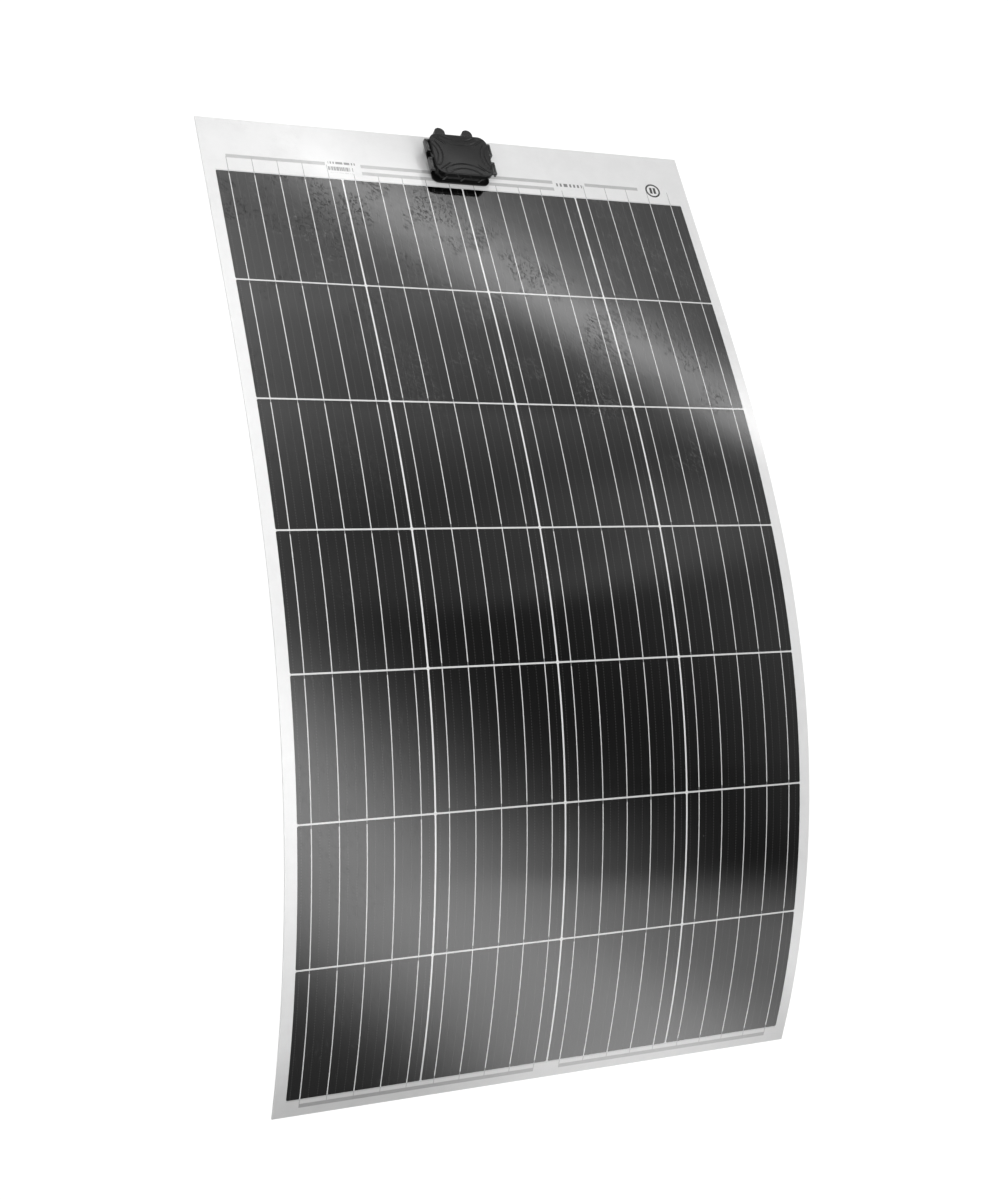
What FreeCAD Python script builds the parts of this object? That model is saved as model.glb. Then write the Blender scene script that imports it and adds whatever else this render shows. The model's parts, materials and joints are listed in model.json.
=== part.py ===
import FreeCAD, Part
import math
import os

import Sketcher
from FreeCAD import Placement, Rotation, Vector

# A flexible solar sheet, lying as an arch on its two short ends.
# X runs across the sheet, Y along it towards the junction box, Z is up.
# Each cell row is one stiff strip of laminate, and the sheet bends between the strips.
# A row has a frame of its own: its origin is the middle of the row on the plane that the
# cells lie on, y points along the sheet towards the junction box and z out of the front.

DIMENSIONS = {
    # solar cells: full squares in a grid of 7 rows and 4 columns
    "cell_side": 156.75,
    "cell_gap": 2.0,
    "cell_thickness": 0.2,
    "column_count": 4,
    # bare laminate round the cells
    "side_margin": 14.0,
    "top_margin": 80.0,
    "bottom_margin": 22.0,
    # layers of the laminate
    "substrate_thickness": 1.2,
    "encapsulant_thickness": 0.35,
    "film_thickness": 0.25,
    # slit between two strips, where the sheet bends
    "flex_gap": 0.5,
    # angle in degrees that the sheet turns through over each row, from the top
    "bend_row_1": 0.0,
    "bend_row_2": 3.0,
    "bend_row_3": 6.0,
    "bend_row_4": 9.0,
    "bend_row_5": 10.5,
    "bend_row_6": 10.5,
    "bend_row_7": 10.5,
    # flat wires on the cells, five to a cell
    "ribbon_count": 5,
    "ribbon_width": 1.2,
    "ribbon_thickness": 0.15,
    "ribbon_setback": 4.0,
    # bus bars in the margins, measured from the edge of the cells to the bar's middle
    "bus_width": 5.0,
    "bus_thickness": 0.2,
    "outer_bus_offset": 23.0,
    "centre_bus_offset": 12.0,
    "bottom_bus_offset": 9.0,
    "outer_bus_inner_end": 15.0,
    # printed labels under the film
    "label_thickness": 0.05,
    "rating_label_width": 40.0,
    "rating_label_depth": 20.0,
    "plain_label_width": 44.0,
    "plain_label_depth": 15.0,
    "label_reach": 158.0,
    "label_offset": 19.5,
    "mark_radius": 10.5,
    "mark_ring_width": 1.4,
    "mark_reach": 280.0,
    "mark_offset": 22.5,
    # junction box, centred across the sheet
    "jbox_offset": 37.5,
    "jbox_pad_thickness": 1.0,
    "jbox_pad_width": 72.0,
    "jbox_pad_depth": 58.0,
    "jbox_foot_width": 78.0,
    "jbox_foot_depth": 62.0,
    "jbox_foot_radius": 8.5,
    "jbox_foot_thickness": 2.0,
    "jbox_wall_width": 72.0,
    "jbox_wall_depth": 56.0,
    "jbox_wall_thickness": 2.0,
    "jbox_base_tall": 16.0,
    "jbox_corner_radius": 10.0,
    "jbox_gasket_width": 1.2,
    "jbox_gasket_thickness": 0.95,
    "jbox_lid_width": 78.5,
    "jbox_lid_depth": 63.0,
    "jbox_lid_radius": 12.0,
    "jbox_lid_plate": 2.5,
    "jbox_lid_skirt": 4.0,
    "jbox_lid_clearance": 0.3,
    "jbox_lid_edge_radius": 1.2,
    "jbox_seat_gap": 0.05,
    # latches on the lid's sides and the lugs that they pass over
    "latch_pitch": 29.0,
    "latch_length": 19.0,
    "latch_outer": 89.6,
    "latch_thickness": 2.2,
    "latch_arm": 3.0,
    "latch_drop": 3.0,
    "latch_top": 3.5,
    "lug_length": 9.0,
    "lug_proud": 5.9,
    "lug_low": 7.5,
    "lug_tall": 5.0,
    # stiffening ribs on the wall that faces the cells
    "rib_count": 3,
    "rib_pitch": 24.0,
    "rib_width": 1.6,
    "rib_proud": 0.7,
    "rib_tall": 11.0,
    # cable outlets: half-round bosses with a bore and a rubber seal
    "outlet_pitch": 37.6,
    "outlet_radius": 7.1,
    "outlet_reach": 40.5,
    "outlet_tall": 12.0,
    "outlet_axis_height": 6.6,
    "seal_outer_radius": 4.2,
    "seal_inner_radius": 2.9,
    "seal_length": 10.0,
    # what the junction box holds
    "foil_width": 5.0,
    "foil_thickness": 0.2,
    "foil_setback": 16.0,
    "foil_slot": 1.0,
    "foil_fold": 8.0,
    "slot_clearance": 1.0,
    "window_width": 50.0,
    "window_depth": 6.0,
    "rail_width": 9.0,
    "rail_depth": 34.0,
    "rail_start": -12.5,
    "rail_thickness": 1.2,
    "diode_radius": 2.75,
    "diode_length": 8.4,
    "lead_radius": 0.6,
    "lead_leg_radius": 0.5,
    "lead_length": 13.4,
    "diode_reach": 3.0,
    "diode_axis_height": 5.6,
    "clamp_side": 9.0,
    "clamp_reach": 15.5,
    "conductor_radius": 1.7,
    "screw_radius": 1.5,
    "screw_clearance": 0.03,
    "screw_head_radius": 2.7,
    "screw_head_thickness": 2.0,
}

ROWS = range(1, 8)
FIRST_ROW = 1
ROOT_ROW = 4
LAST_ROW = 7

PITCH = "(dims.cell_side + dims.cell_gap)"
STRIP = f"({PITCH} - dims.flex_gap)"
CELLS_WIDTH = f"(dims.column_count * {PITCH} - dims.cell_gap)"
SHEET_WIDTH = f"({CELLS_WIDTH} + 2 * dims.side_margin)"
REAR_FACE = "(-dims.encapsulant_thickness - dims.substrate_thickness)"
RIBBON_TOP = "(dims.cell_thickness + dims.ribbon_thickness)"
LAMINATE_TOP = "(dims.cell_thickness + dims.encapsulant_thickness)"
FILM_TOP = f"({LAMINATE_TOP} + dims.film_thickness)"
END_MARGIN_START = f"({STRIP} / 2)"
CAVITY_FLOOR = "(dims.jbox_pad_thickness + dims.jbox_foot_thickness)"
RAIL_TOP = f"({CAVITY_FLOOR} + dims.rail_thickness)"

doc = FreeCAD.newDocument("solar_sheet")
dims = doc.addObject("Spreadsheet::Sheet", "dims")
for line, (alias, number) in enumerate(DIMENSIONS.items(), start=1):
    dims.set(f"A{line}", alias)
    dims.set(f"B{line}", str(number))
    dims.setAlias(f"B{line}", alias)
doc.recompute()


def value(expression):
    """The number that an expression over the sheet's dimensions gives."""
    return float(dims.evalExpression(str(expression)))


def bind(obj, **expressions):
    """Ties properties of an object to expressions over the sheet."""
    for name, expression in expressions.items():
        obj.setExpression(name, str(expression))
    return obj


def place(obj, x=0, y=0, z=0, rotation=None):
    """Puts an object at a position tied to the sheet, with a fixed rotation."""
    obj.Placement = Placement(Vector(value(x), value(y), value(z)), rotation or Rotation())
    for axis, expression in zip("xyz", (x, y, z)):
        obj.setExpression(f"Placement.Base.{axis}", str(expression))
    return obj


def box(name, size, corner):
    """A block with the given size and lowest corner."""
    block = doc.addObject("Part::Box", name)
    bind(block, Length=size[0], Width=size[1], Height=size[2])
    return place(block, *corner)


def centred_box(name, size, middle):
    """A block centred on middle in x and y, standing on its z."""
    corner = (f"{middle[0]} - ({size[0]}) / 2", f"{middle[1]} - ({size[1]}) / 2", middle[2])
    return box(name, size, corner)


def rod(name, radius, length, start, rotation=None):
    """A cylinder from start along z, or along z turned by the rotation."""
    cylinder = doc.addObject("Part::Cylinder", name)
    bind(cylinder, Radius=radius, Height=length)
    return place(cylinder, *start, rotation=rotation)


def combine(kind, name, base, tool):
    """A boolean of two shapes: Part::Cut, Part::Fuse or Part::Common."""
    result = doc.addObject(kind, name)
    result.Base = base
    result.Tool = tool
    return result


def group(name, members):
    """Several separate solids as one sub-part."""
    compound = doc.addObject("Part::Compound", name)
    compound.Links = members
    return compound


# ---------------------------------------------------------------- the bent strips

def bend(row):
    return f"dims.bend_row_{row}"


def radius(row):
    """Bend radius of a row on the plane that its cells lie on."""
    return f"(180 / pi * {PITCH} / {bend(row)})"


def bent_band(name, row, low, high, length):
    """A full-width layer from low to high, following the row's arc over the length."""
    angle = f"({length}) / {PITCH} * {bend(row)}"
    across = Rotation(Vector(1, 1, 1), 120)
    upright = across.multiply(Rotation(Vector(0, 0, 1), 90 - value(angle) / 2))
    centre = f"-{radius(row)}"
    outer = rod(f"{name}_outer", f"{radius(row)} + {high}", SHEET_WIDTH,
                (f"-{SHEET_WIDTH} / 2", 0, centre), upright)
    bind(outer, Angle=angle)
    inner = rod(f"{name}_inner", f"{radius(row)} + {low}", f"{SHEET_WIDTH} + 2",
                (f"-{SHEET_WIDTH} / 2 - 1", 0, centre), upright)
    return combine("Part::Cut", name, outer, inner)


def flat_band(name, low, high, length):
    size = (SHEET_WIDTH, length, f"{high} - {low}")
    return centred_box(name, size, (0, 0, low))


def band(name, row, low, high, length):
    if value(bend(row)) > 0:
        return bent_band(name, row, low, high, length)
    return flat_band(name, low, high, length)


def end_margin(name, row, low, high):
    """The flat end of the sheet beyond the first or the last row."""
    slit = "(dims.cell_gap - dims.flex_gap) / 2"
    if row == FIRST_ROW:
        size = (SHEET_WIDTH, f"dims.top_margin - {slit}", f"{high} - {low}")
        return box(name, size, (f"-{SHEET_WIDTH} / 2", END_MARGIN_START, low))
    size = (SHEET_WIDTH, f"dims.bottom_margin - {slit}", f"{high} - {low}")
    margin = box(name, size, (f"-{SHEET_WIDTH} / 2", f"-({size[1]})", low))
    moved = last_row_end().multiply(margin.Placement)
    margin.setExpression("Placement.Base.y", None)
    margin.setExpression("Placement.Base.z", None)
    margin.Placement = moved
    return margin


def last_row_end():
    """Frame at the lower end of the last row's arc, in that row's own frame."""
    half = value(f"{STRIP} / {PITCH} * {bend(LAST_ROW)} / 2")
    reach = value(radius(LAST_ROW))
    turned = math.radians(half)
    end = Vector(0, -reach * math.sin(turned), reach * (math.cos(turned) - 1))
    return Placement(end, Rotation(Vector(1, 0, 0), half))


def layer(name, row, low, high):
    """One layer of the laminate over a whole strip, with the end margin where it has one."""
    if row not in (FIRST_ROW, LAST_ROW):
        return band(name, row, low, high, STRIP)
    strip = band(f"{name}_strip", row, low, high, STRIP)
    margin = end_margin(f"{name}_margin", row, low, high)
    whole = combine("Part::Fuse", name, strip, margin)
    whole.Refine = True
    return whole


def column_left(column):
    """Left edge of a column of cells, counted from 1."""
    return f"({column - 1} * {PITCH} - {CELLS_WIDTH} / 2)"


def ribbon_middle(column, ribbon):
    return f"({column_left(column)} + ({ribbon} - 0.5) * dims.cell_side / dims.ribbon_count)"


def ribbon_comb(name, top_reach, bottom_reach):
    """Upright slabs where the front ribbons run.

    Odd columns stop short of the cell's upper edge, even ones of its lower edge. On the
    other side they reach past the edge. In the first and last row the columns that stop
    short have a link of their own from the cell's edge to the bus bar.
    """
    slabs = []
    short = "(dims.cell_side / 2 - dims.ribbon_setback)"
    for column in range(1, 5):
        odd = column % 2 == 1
        top = short if odd else top_reach
        bottom = bottom_reach if odd else short
        pieces = [(f"-{bottom}", top)]
        edge = "(dims.cell_side / 2 + dims.flex_gap)"
        if odd and top_reach != END_MARGIN_START:
            pieces.append((edge, top_reach))
        if not odd and bottom_reach != END_MARGIN_START:
            pieces.append((f"-{bottom_reach}", f"-{edge}"))
        for ribbon in range(1, 6):
            middle = ribbon_middle(column, ribbon)
            for number, (low, high) in enumerate(pieces):
                slab = box(f"{name}_{column}_{ribbon}_{number}",
                           ("dims.ribbon_width", f"{high} - {low}", 30),
                           (f"{middle} - dims.ribbon_width / 2", low, -15))
                slabs.append(slab)
    return group(name, slabs)


def top_link_reach():
    return "(dims.cell_side / 2 + dims.centre_bus_offset + dims.bus_width / 2)"


def bottom_link_reach():
    return "(dims.cell_side / 2 + dims.bottom_bus_offset + dims.bus_width / 2)"


def cell_columns():
    """Upright blocks that cut a band into the four cells of a row."""
    blocks = [box(f"column_{column}", ("dims.cell_side", "2 * dims.cell_side", 30),
                  (column_left(column), "-dims.cell_side", -15)) for column in range(1, 5)]
    return group("columns", blocks)


def bus(name, left, right, middle, row):
    """A bus bar on the plane of the cells, from left to right."""
    size = (f"{right} - {left}", "dims.bus_width", "dims.bus_thickness")
    bar = box(name, size, (left, f"{middle} - dims.bus_width / 2", 0))
    if row == LAST_ROW:
        local = Placement(Vector(0, value(f"{STRIP} / 2"), 0), Rotation())
        bar.setExpression("Placement.Base.y", None)
        bar.setExpression("Placement.Base.z", None)
        bar.Placement = last_row_end().multiply(local).multiply(bar.Placement)
    return bar


def top_buses():
    """The two terminal bars and the bar that joins the inner columns."""
    outer = "(dims.cell_side / 2 + dims.outer_bus_offset)"
    centre = "(dims.cell_side / 2 + dims.centre_bus_offset)"
    first, last = ribbon_middle(1, 1), ribbon_middle(4, 5)
    inner = "dims.outer_bus_inner_end"
    left = bus("bus_left_terminal", first, f"-{inner}", outer, FIRST_ROW)
    right = bus("bus_right_terminal", inner, last, outer, FIRST_ROW)
    bar = bus("centre_bar", ribbon_middle(2, 1), ribbon_middle(3, 5), centre, FIRST_ROW)
    rise = "(dims.outer_bus_offset - dims.centre_bus_offset + dims.bus_width / 2)"
    tap = box("centre_rise", ("dims.bus_width", rise, "dims.bus_thickness"),
              ("-dims.bus_width / 2", centre, 0))
    return left, right, combine("Part::Fuse", "bus_centre_tap", bar, tap)


def bottom_buses():
    """Two bars below the last row, each joining a pair of columns."""
    middle = "-(dims.cell_side / 2 + dims.bottom_bus_offset)"
    pairs = ((ribbon_middle(1, 1), ribbon_middle(2, 5)), (ribbon_middle(3, 1), ribbon_middle(4, 5)))
    bars = [bus(f"bottom_bar_{number}", left, right, middle, LAST_ROW)
            for number, (left, right) in enumerate(pairs, start=1)]
    return group("buses_bottom", bars)


def labels():
    """Printed labels and a round handling mark, under the film beside the junction box."""
    level = f"({LAMINATE_TOP} - dims.label_thickness)"
    middle = "(dims.cell_side / 2 + dims.label_offset)"
    rating = centred_box("rating_label",
                         ("dims.rating_label_width", "dims.rating_label_depth", "dims.label_thickness"),
                         ("-dims.label_reach", middle, level))
    plain = centred_box("plain_label",
                        ("dims.plain_label_width", "dims.plain_label_depth", "dims.label_thickness"),
                        ("dims.label_reach", middle, level))
    spot = ("dims.mark_reach", "dims.cell_side / 2 + dims.mark_offset", level)
    disc = rod("mark_disc", "dims.mark_radius", "dims.label_thickness", spot)
    hole = rod("mark_hole", "dims.mark_radius - dims.mark_ring_width", "dims.label_thickness", spot)
    return rating, plain, combine("Part::Cut", "handling_mark", disc, hole)


# ---------------------------------------------------------------- sketches for the junction box

def start_body(name):
    return doc.addObject("PartDesign::Body", name)


def plane_sketch(body, name, role="XY_Plane", offset=0):
    """A sketch on one of the body's own origin planes, moved along its normal."""
    sketch = body.newObject("Sketcher::SketchObject", name)
    plane = next(item for item in body.Origin.OriginFeatures if item.Role == role)
    sketch.AttachmentSupport = [(plane, "")]
    sketch.MapMode = "FlatFace"
    sketch.AttachmentOffset = Placement(Vector(0, 0, value(offset)), Rotation())
    sketch.setExpression("AttachmentOffset.Base.z", str(offset))
    return sketch


def dimension(sketch, kind, first, second, expression):
    """A driving distance from one point to another, tied to the sheet, kept positive."""
    number = value(expression)
    if number < 0:
        first, second = second, first
        expression = f"-({expression})"
    index = sketch.addConstraint(Sketcher.Constraint(kind, *first, *second, abs(number)))
    sketch.setExpression(f"Constraints[{index}]", expression)


def rounded_rectangle(sketch, width, depth, corner):
    """A rectangle centred on the sketch's origin, with four equal round corners."""
    half_x, half_y, bow = value(width) / 2, value(depth) / 2, value(corner)
    flat_x, flat_y = half_x - bow, half_y - bow
    sides = [((-flat_x, -half_y), (flat_x, -half_y)), ((half_x, -flat_y), (half_x, flat_y)),
             ((flat_x, half_y), (-flat_x, half_y)), ((-half_x, flat_y), (-half_x, -flat_y))]
    centres = [(flat_x, -flat_y), (flat_x, flat_y), (-flat_x, flat_y), (-flat_x, -flat_y)]
    lines, arcs = [], []
    for number, ((start, end), centre) in enumerate(zip(sides, centres)):
        segment = Part.LineSegment(Vector(*start, 0), Vector(*end, 0))
        lines.append(sketch.addGeometry(segment, False))
        circle = Part.Circle(Vector(*centre, 0), Vector(0, 0, 1), bow)
        first = math.radians(90 * (number - 1))
        arc = Part.ArcOfCircle(circle, first, first + math.pi / 2)
        arcs.append(sketch.addGeometry(arc, False))
    for number in range(4):
        sketch.addConstraint(Sketcher.Constraint("Tangent", lines[number], 2, arcs[number], 1))
        after = lines[(number + 1) % 4]
        sketch.addConstraint(Sketcher.Constraint("Tangent", arcs[number], 2, after, 1))
    sketch.addConstraint(Sketcher.Constraint("Horizontal", lines[0]))
    sketch.addConstraint(Sketcher.Constraint("Vertical", lines[1]))
    for arc in arcs[1:]:
        sketch.addConstraint(Sketcher.Constraint("Equal", arcs[0], arc))
    sketch.addConstraint(Sketcher.Constraint("Symmetric", arcs[0], 3, arcs[2], 3, -1, 1))
    dimension(sketch, "DistanceX", (lines[3], 1), (lines[1], 1), width)
    dimension(sketch, "DistanceY", (lines[0], 1), (lines[2], 1), depth)
    index = sketch.addConstraint(Sketcher.Constraint("Radius", arcs[0], bow))
    sketch.setExpression(f"Constraints[{index}]", corner)


def rectangle(sketch, left, bottom, width, depth):
    """A rectangle whose lower left corner is at (left, bottom)."""
    x, y, wide, deep = (value(item) for item in (left, bottom, width, depth))
    corners = [Vector(x, y, 0), Vector(x + wide, y, 0), Vector(x + wide, y + deep, 0), Vector(x, y + deep, 0)]
    lines = [sketch.addGeometry(Part.LineSegment(corners[i], corners[(i + 1) % 4]), False) for i in range(4)]
    for number in range(4):
        after = lines[(number + 1) % 4]
        sketch.addConstraint(Sketcher.Constraint("Coincident", lines[number], 2, after, 1))
        kind = "Horizontal" if number % 2 == 0 else "Vertical"
        sketch.addConstraint(Sketcher.Constraint(kind, lines[number]))
    dimension(sketch, "DistanceX", (-1, 1), (lines[0], 1), left)
    dimension(sketch, "DistanceY", (-1, 1), (lines[0], 1), bottom)
    dimension(sketch, "DistanceX", (lines[0], 1), (lines[0], 2), width)
    dimension(sketch, "DistanceY", (lines[1], 1), (lines[1], 2), depth)


def circle_at(sketch, x, y, size):
    """A circle of radius size centred on (x, y)."""
    geometry = Part.Circle(Vector(value(x), value(y), 0), Vector(0, 0, 1), value(size))
    index = sketch.addGeometry(geometry, False)
    dimension(sketch, "DistanceX", (-1, 1), (index, 3), x)
    dimension(sketch, "DistanceY", (-1, 1), (index, 3), y)
    radius_index = sketch.addConstraint(Sketcher.Constraint("Radius", index, value(size)))
    sketch.setExpression(f"Constraints[{radius_index}]", size)


def extrude(kind, body, name, sketch, length, reverse=False):
    """A pad or pocket of a sketch. It has to change the body's volume."""
    before = 0 if body.Shape.isNull() else body.Shape.Volume
    feature = body.newObject(kind, name)
    feature.Profile = sketch
    feature.Reversed = reverse
    feature.Length = value(length)
    feature.setExpression("Length", str(length))
    doc.recompute()
    if abs(feature.Shape.Volume - before) < 1:
        raise RuntimeError(f"{name} changes nothing")
    return feature


def pad(body, name, sketch, length, reverse=False):
    return extrude("PartDesign::Pad", body, name, sketch, length, reverse)


def pocket(body, name, sketch, length, reverse=False):
    return extrude("PartDesign::Pocket", body, name, sketch, length, reverse)


def cut_foil_window(body, name):
    """The slot that the foils come up through."""
    sketch = plane_sketch(body, f"{name}_sketch")
    rectangle(sketch, "-dims.window_width / 2", "-dims.foil_setback - dims.window_depth / 2",
              "dims.window_width", "dims.window_depth")
    pocket(body, name, sketch, "dims.jbox_foot_thickness + dims.jbox_pad_thickness", reverse=True)


def junction_pad():
    """The adhesive pad under the junction box."""
    body = start_body("jbox_adhesive_pad")
    outline = plane_sketch(body, "pad_outline")
    rounded_rectangle(outline, "dims.jbox_pad_width", "dims.jbox_pad_depth", "dims.jbox_corner_radius")
    pad(body, "pad_sheet", outline, "dims.jbox_pad_thickness")
    cut_foil_window(body, "pad_window")
    return body


def side_positions():
    """The four latch places: side of the box and y of the latch's middle."""
    return [(side, f"({end} * dims.latch_pitch / 2)") for side in (-1, 1) for end in (-1, 1)]


def junction_base():
    """An open tray on a foot flange, with lugs, ribs and two cable outlets."""
    body = start_body("jbox_base")
    foot = plane_sketch(body, "foot_outline")
    rounded_rectangle(foot, "dims.jbox_foot_width", "dims.jbox_foot_depth", "dims.jbox_foot_radius")
    pad(body, "foot", foot, "dims.jbox_foot_thickness")
    wall = plane_sketch(body, "wall_outline")
    rounded_rectangle(wall, "dims.jbox_wall_width", "dims.jbox_wall_depth", "dims.jbox_corner_radius")
    pad(body, "block", wall, "dims.jbox_base_tall")

    outlets = plane_sketch(body, "outlet_outline")
    for side in (-1, 1):
        rectangle(outlets, f"{side} * dims.outlet_pitch / 2 - dims.outlet_radius",
                  "dims.jbox_wall_depth / 2 - dims.jbox_wall_thickness",
                  "2 * dims.outlet_radius",
                  "dims.outlet_reach - dims.jbox_wall_depth / 2 + dims.jbox_wall_thickness")
    pad(body, "outlet_necks", outlets, "dims.outlet_tall")
    noses = plane_sketch(body, "nose_outline")
    for side in (-1, 1):
        circle_at(noses, f"{side} * dims.outlet_pitch / 2", "dims.outlet_reach", "dims.outlet_radius")
    pad(body, "outlet_noses", noses, "dims.outlet_tall")

    cavity = plane_sketch(body, "cavity_outline", offset="dims.jbox_base_tall")
    inner = "dims.jbox_corner_radius - dims.jbox_wall_thickness"
    rounded_rectangle(cavity, "dims.jbox_wall_width - 2 * dims.jbox_wall_thickness",
                      "dims.jbox_wall_depth - 2 * dims.jbox_wall_thickness", inner)
    pocket(body, "cavity", cavity, "dims.jbox_base_tall - dims.jbox_foot_thickness")

    lugs = plane_sketch(body, "lug_outline", offset="dims.lug_low")
    for side, middle in side_positions():
        inner_edge = f"{side} * (dims.jbox_wall_width / 2 + dims.lug_proud / 2 - 0.1)"
        rectangle(lugs, f"{inner_edge} - dims.lug_proud / 2 - 0.1", f"{middle} - dims.lug_length / 2",
                  "dims.lug_proud + 0.2", "dims.lug_length")
    pad(body, "lugs", lugs, "dims.lug_tall")

    ribs = plane_sketch(body, "rib_outline", offset="dims.jbox_foot_thickness / 2")
    for number in range(DIMENSIONS["rib_count"]):
        middle = f"({number} - (dims.rib_count - 1) / 2) * dims.rib_pitch"
        rectangle(ribs, f"{middle} - dims.rib_width / 2",
                  "-dims.jbox_wall_depth / 2 - dims.rib_proud",
                  "dims.rib_width", "dims.rib_proud + 0.5")
    pad(body, "ribs", ribs, "dims.rib_tall + dims.jbox_foot_thickness / 2")

    bores = plane_sketch(body, "bore_outline", role="XZ_Plane")
    for side in (-1, 1):
        circle_at(bores, f"{side} * dims.outlet_pitch / 2", "dims.outlet_axis_height",
                  "dims.seal_outer_radius")
    pocket(body, "outlet_bores", bores, "dims.outlet_reach + 2 * dims.outlet_radius")
    cut_foil_window(body, "base_window")
    return body


def junction_gasket():
    """A flat rubber ring on the rim of the tray."""
    body = start_body("jbox_gasket")
    outline = plane_sketch(body, "gasket_outline")
    inset = "(dims.jbox_wall_thickness - dims.jbox_gasket_width)"
    rounded_rectangle(outline, f"dims.jbox_wall_width - {inset}", f"dims.jbox_wall_depth - {inset}",
                      f"dims.jbox_corner_radius - {inset} / 2")
    far = f"({inset} + 2 * dims.jbox_gasket_width)"
    rounded_rectangle(outline, f"dims.jbox_wall_width - {far}", f"dims.jbox_wall_depth - {far}",
                      f"dims.jbox_corner_radius - {far} / 2")
    pad(body, "gasket_ring", outline, "dims.jbox_gasket_thickness")
    return body


def junction_lid():
    """A cap with a short skirt over the tray and two looped latches on each side."""
    body = start_body("jbox_lid")
    outline = plane_sketch(body, "lid_outline")
    rounded_rectangle(outline, "dims.jbox_lid_width", "dims.jbox_lid_depth", "dims.jbox_lid_radius")
    pad(body, "lid_block", outline, "dims.jbox_lid_skirt + dims.jbox_lid_plate")
    doc.recompute()
    top = value("dims.jbox_lid_skirt + dims.jbox_lid_plate")
    block = body.Tip
    rim = [f"Edge{number}" for number, edge in enumerate(block.Shape.Edges, start=1)
           if edge.BoundBox.ZMin > top - 0.01]
    rounding = body.newObject("PartDesign::Fillet", "lid_rounding")
    rounding.Base = (block, rim)
    rounding.Radius = value("dims.jbox_lid_edge_radius")
    rounding.setExpression("Radius", "dims.jbox_lid_edge_radius")
    doc.recompute()

    hollow = plane_sketch(body, "hollow_outline")
    clear = "2 * dims.jbox_lid_clearance"
    rounded_rectangle(hollow, f"dims.jbox_wall_width + {clear}", f"dims.jbox_wall_depth + {clear}",
                      "dims.jbox_corner_radius + dims.jbox_lid_clearance")
    pocket(body, "lid_hollow", hollow, "dims.jbox_lid_skirt", reverse=True)

    arms = plane_sketch(body, "arm_outline")
    plates = plane_sketch(body, "latch_outline", offset="-dims.latch_drop")
    reach = "(dims.latch_outer / 2 - dims.jbox_lid_width / 2)"
    for side, middle in side_positions():
        root = "dims.jbox_lid_width / 2 - 1"
        start = root if side > 0 else f"-dims.latch_outer / 2 + 1"
        for end in (-1, 1):
            near = f"{middle} + {end} * (dims.latch_length - dims.latch_arm) / 2 - dims.latch_arm / 2"
            rectangle(arms, start, near, reach, "dims.latch_arm")
        face = "dims.latch_outer / 2 - dims.latch_thickness" if side > 0 else "-dims.latch_outer / 2"
        rectangle(plates, face, f"{middle} - dims.latch_length / 2",
                  "dims.latch_thickness", "dims.latch_length")
    pad(body, "latch_arms", arms, "dims.latch_top")
    pad(body, "latch_plates", plates, "dims.latch_drop + dims.latch_top")
    return body


# ---------------------------------------------------------------- what the junction box holds

def both_outlets():
    return [f"({side} * dims.outlet_pitch / 2)" for side in (-1, 1)]


def cable_seals():
    """A rubber sleeve in each outlet, in the junction box's frame."""
    along = Rotation(Vector(1, 0, 0), -90)
    height = "dims.jbox_pad_thickness + dims.outlet_axis_height"
    start = "dims.outlet_reach + dims.outlet_radius - dims.seal_length - 1"
    seals = []
    for number, x in enumerate(both_outlets()):
        sleeve = rod(f"seal_sleeve_{number}", "dims.seal_outer_radius", "dims.seal_length",
                     (x, start, height), along)
        bore = rod(f"seal_bore_{number}", "dims.seal_inner_radius", "dims.seal_length + 2",
                   (x, f"{start} - 1", height), along)
        seals.append(combine("Part::Cut", f"seal_{number}", sleeve, bore))
    return group("cable_seals", seals)


def terminal_rails():
    """Three tinned plates on the floor of the tray."""
    places = [both_outlets()[0], "0", both_outlets()[1]]
    size = ("dims.rail_width", "dims.rail_depth", "dims.rail_thickness")
    rails = [centred_box(f"rail_{number}", size, (x, "dims.rail_start + dims.rail_depth / 2", CAVITY_FLOOR))
             for number, x in enumerate(places)]
    return group("terminal_rails", rails)


def lead_foils():
    """Foils that rise from the bus bars through the film and fold onto the rails."""
    low = f"(dims.bus_thickness - {FILM_TOP})"
    places = [both_outlets()[0], "0", both_outlets()[1]]
    foils = []
    for number, x in enumerate(places):
        rise = centred_box(f"foil_rise_{number}",
                           ("dims.foil_width", "dims.foil_thickness",
                            f"({RAIL_TOP} + dims.foil_thickness - {low})"),
                           (x, "-dims.foil_setback", low))
        fold = box(f"foil_fold_{number}", ("dims.foil_width", "dims.foil_fold", "dims.foil_thickness"),
                   (f"{x} - dims.foil_width / 2", "-dims.foil_setback", RAIL_TOP))
        foils.append(combine("Part::Fuse", f"foil_{number}", rise, fold))
    return group("lead_foils", foils)


def foil_slots(name, low, high):
    """Cutters for the slots in the front layers that the foils pass through."""
    places = [both_outlets()[0], "0", both_outlets()[1]]
    middle = "(dims.cell_side / 2 + dims.jbox_offset - dims.foil_setback)"
    size = ("dims.foil_width + dims.slot_clearance", "dims.foil_slot", f"{high} - {low}")
    slots = [centred_box(f"{name}_{number}", size, (x, middle, low)) for number, x in enumerate(places)]
    return group(name, slots)


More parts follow.
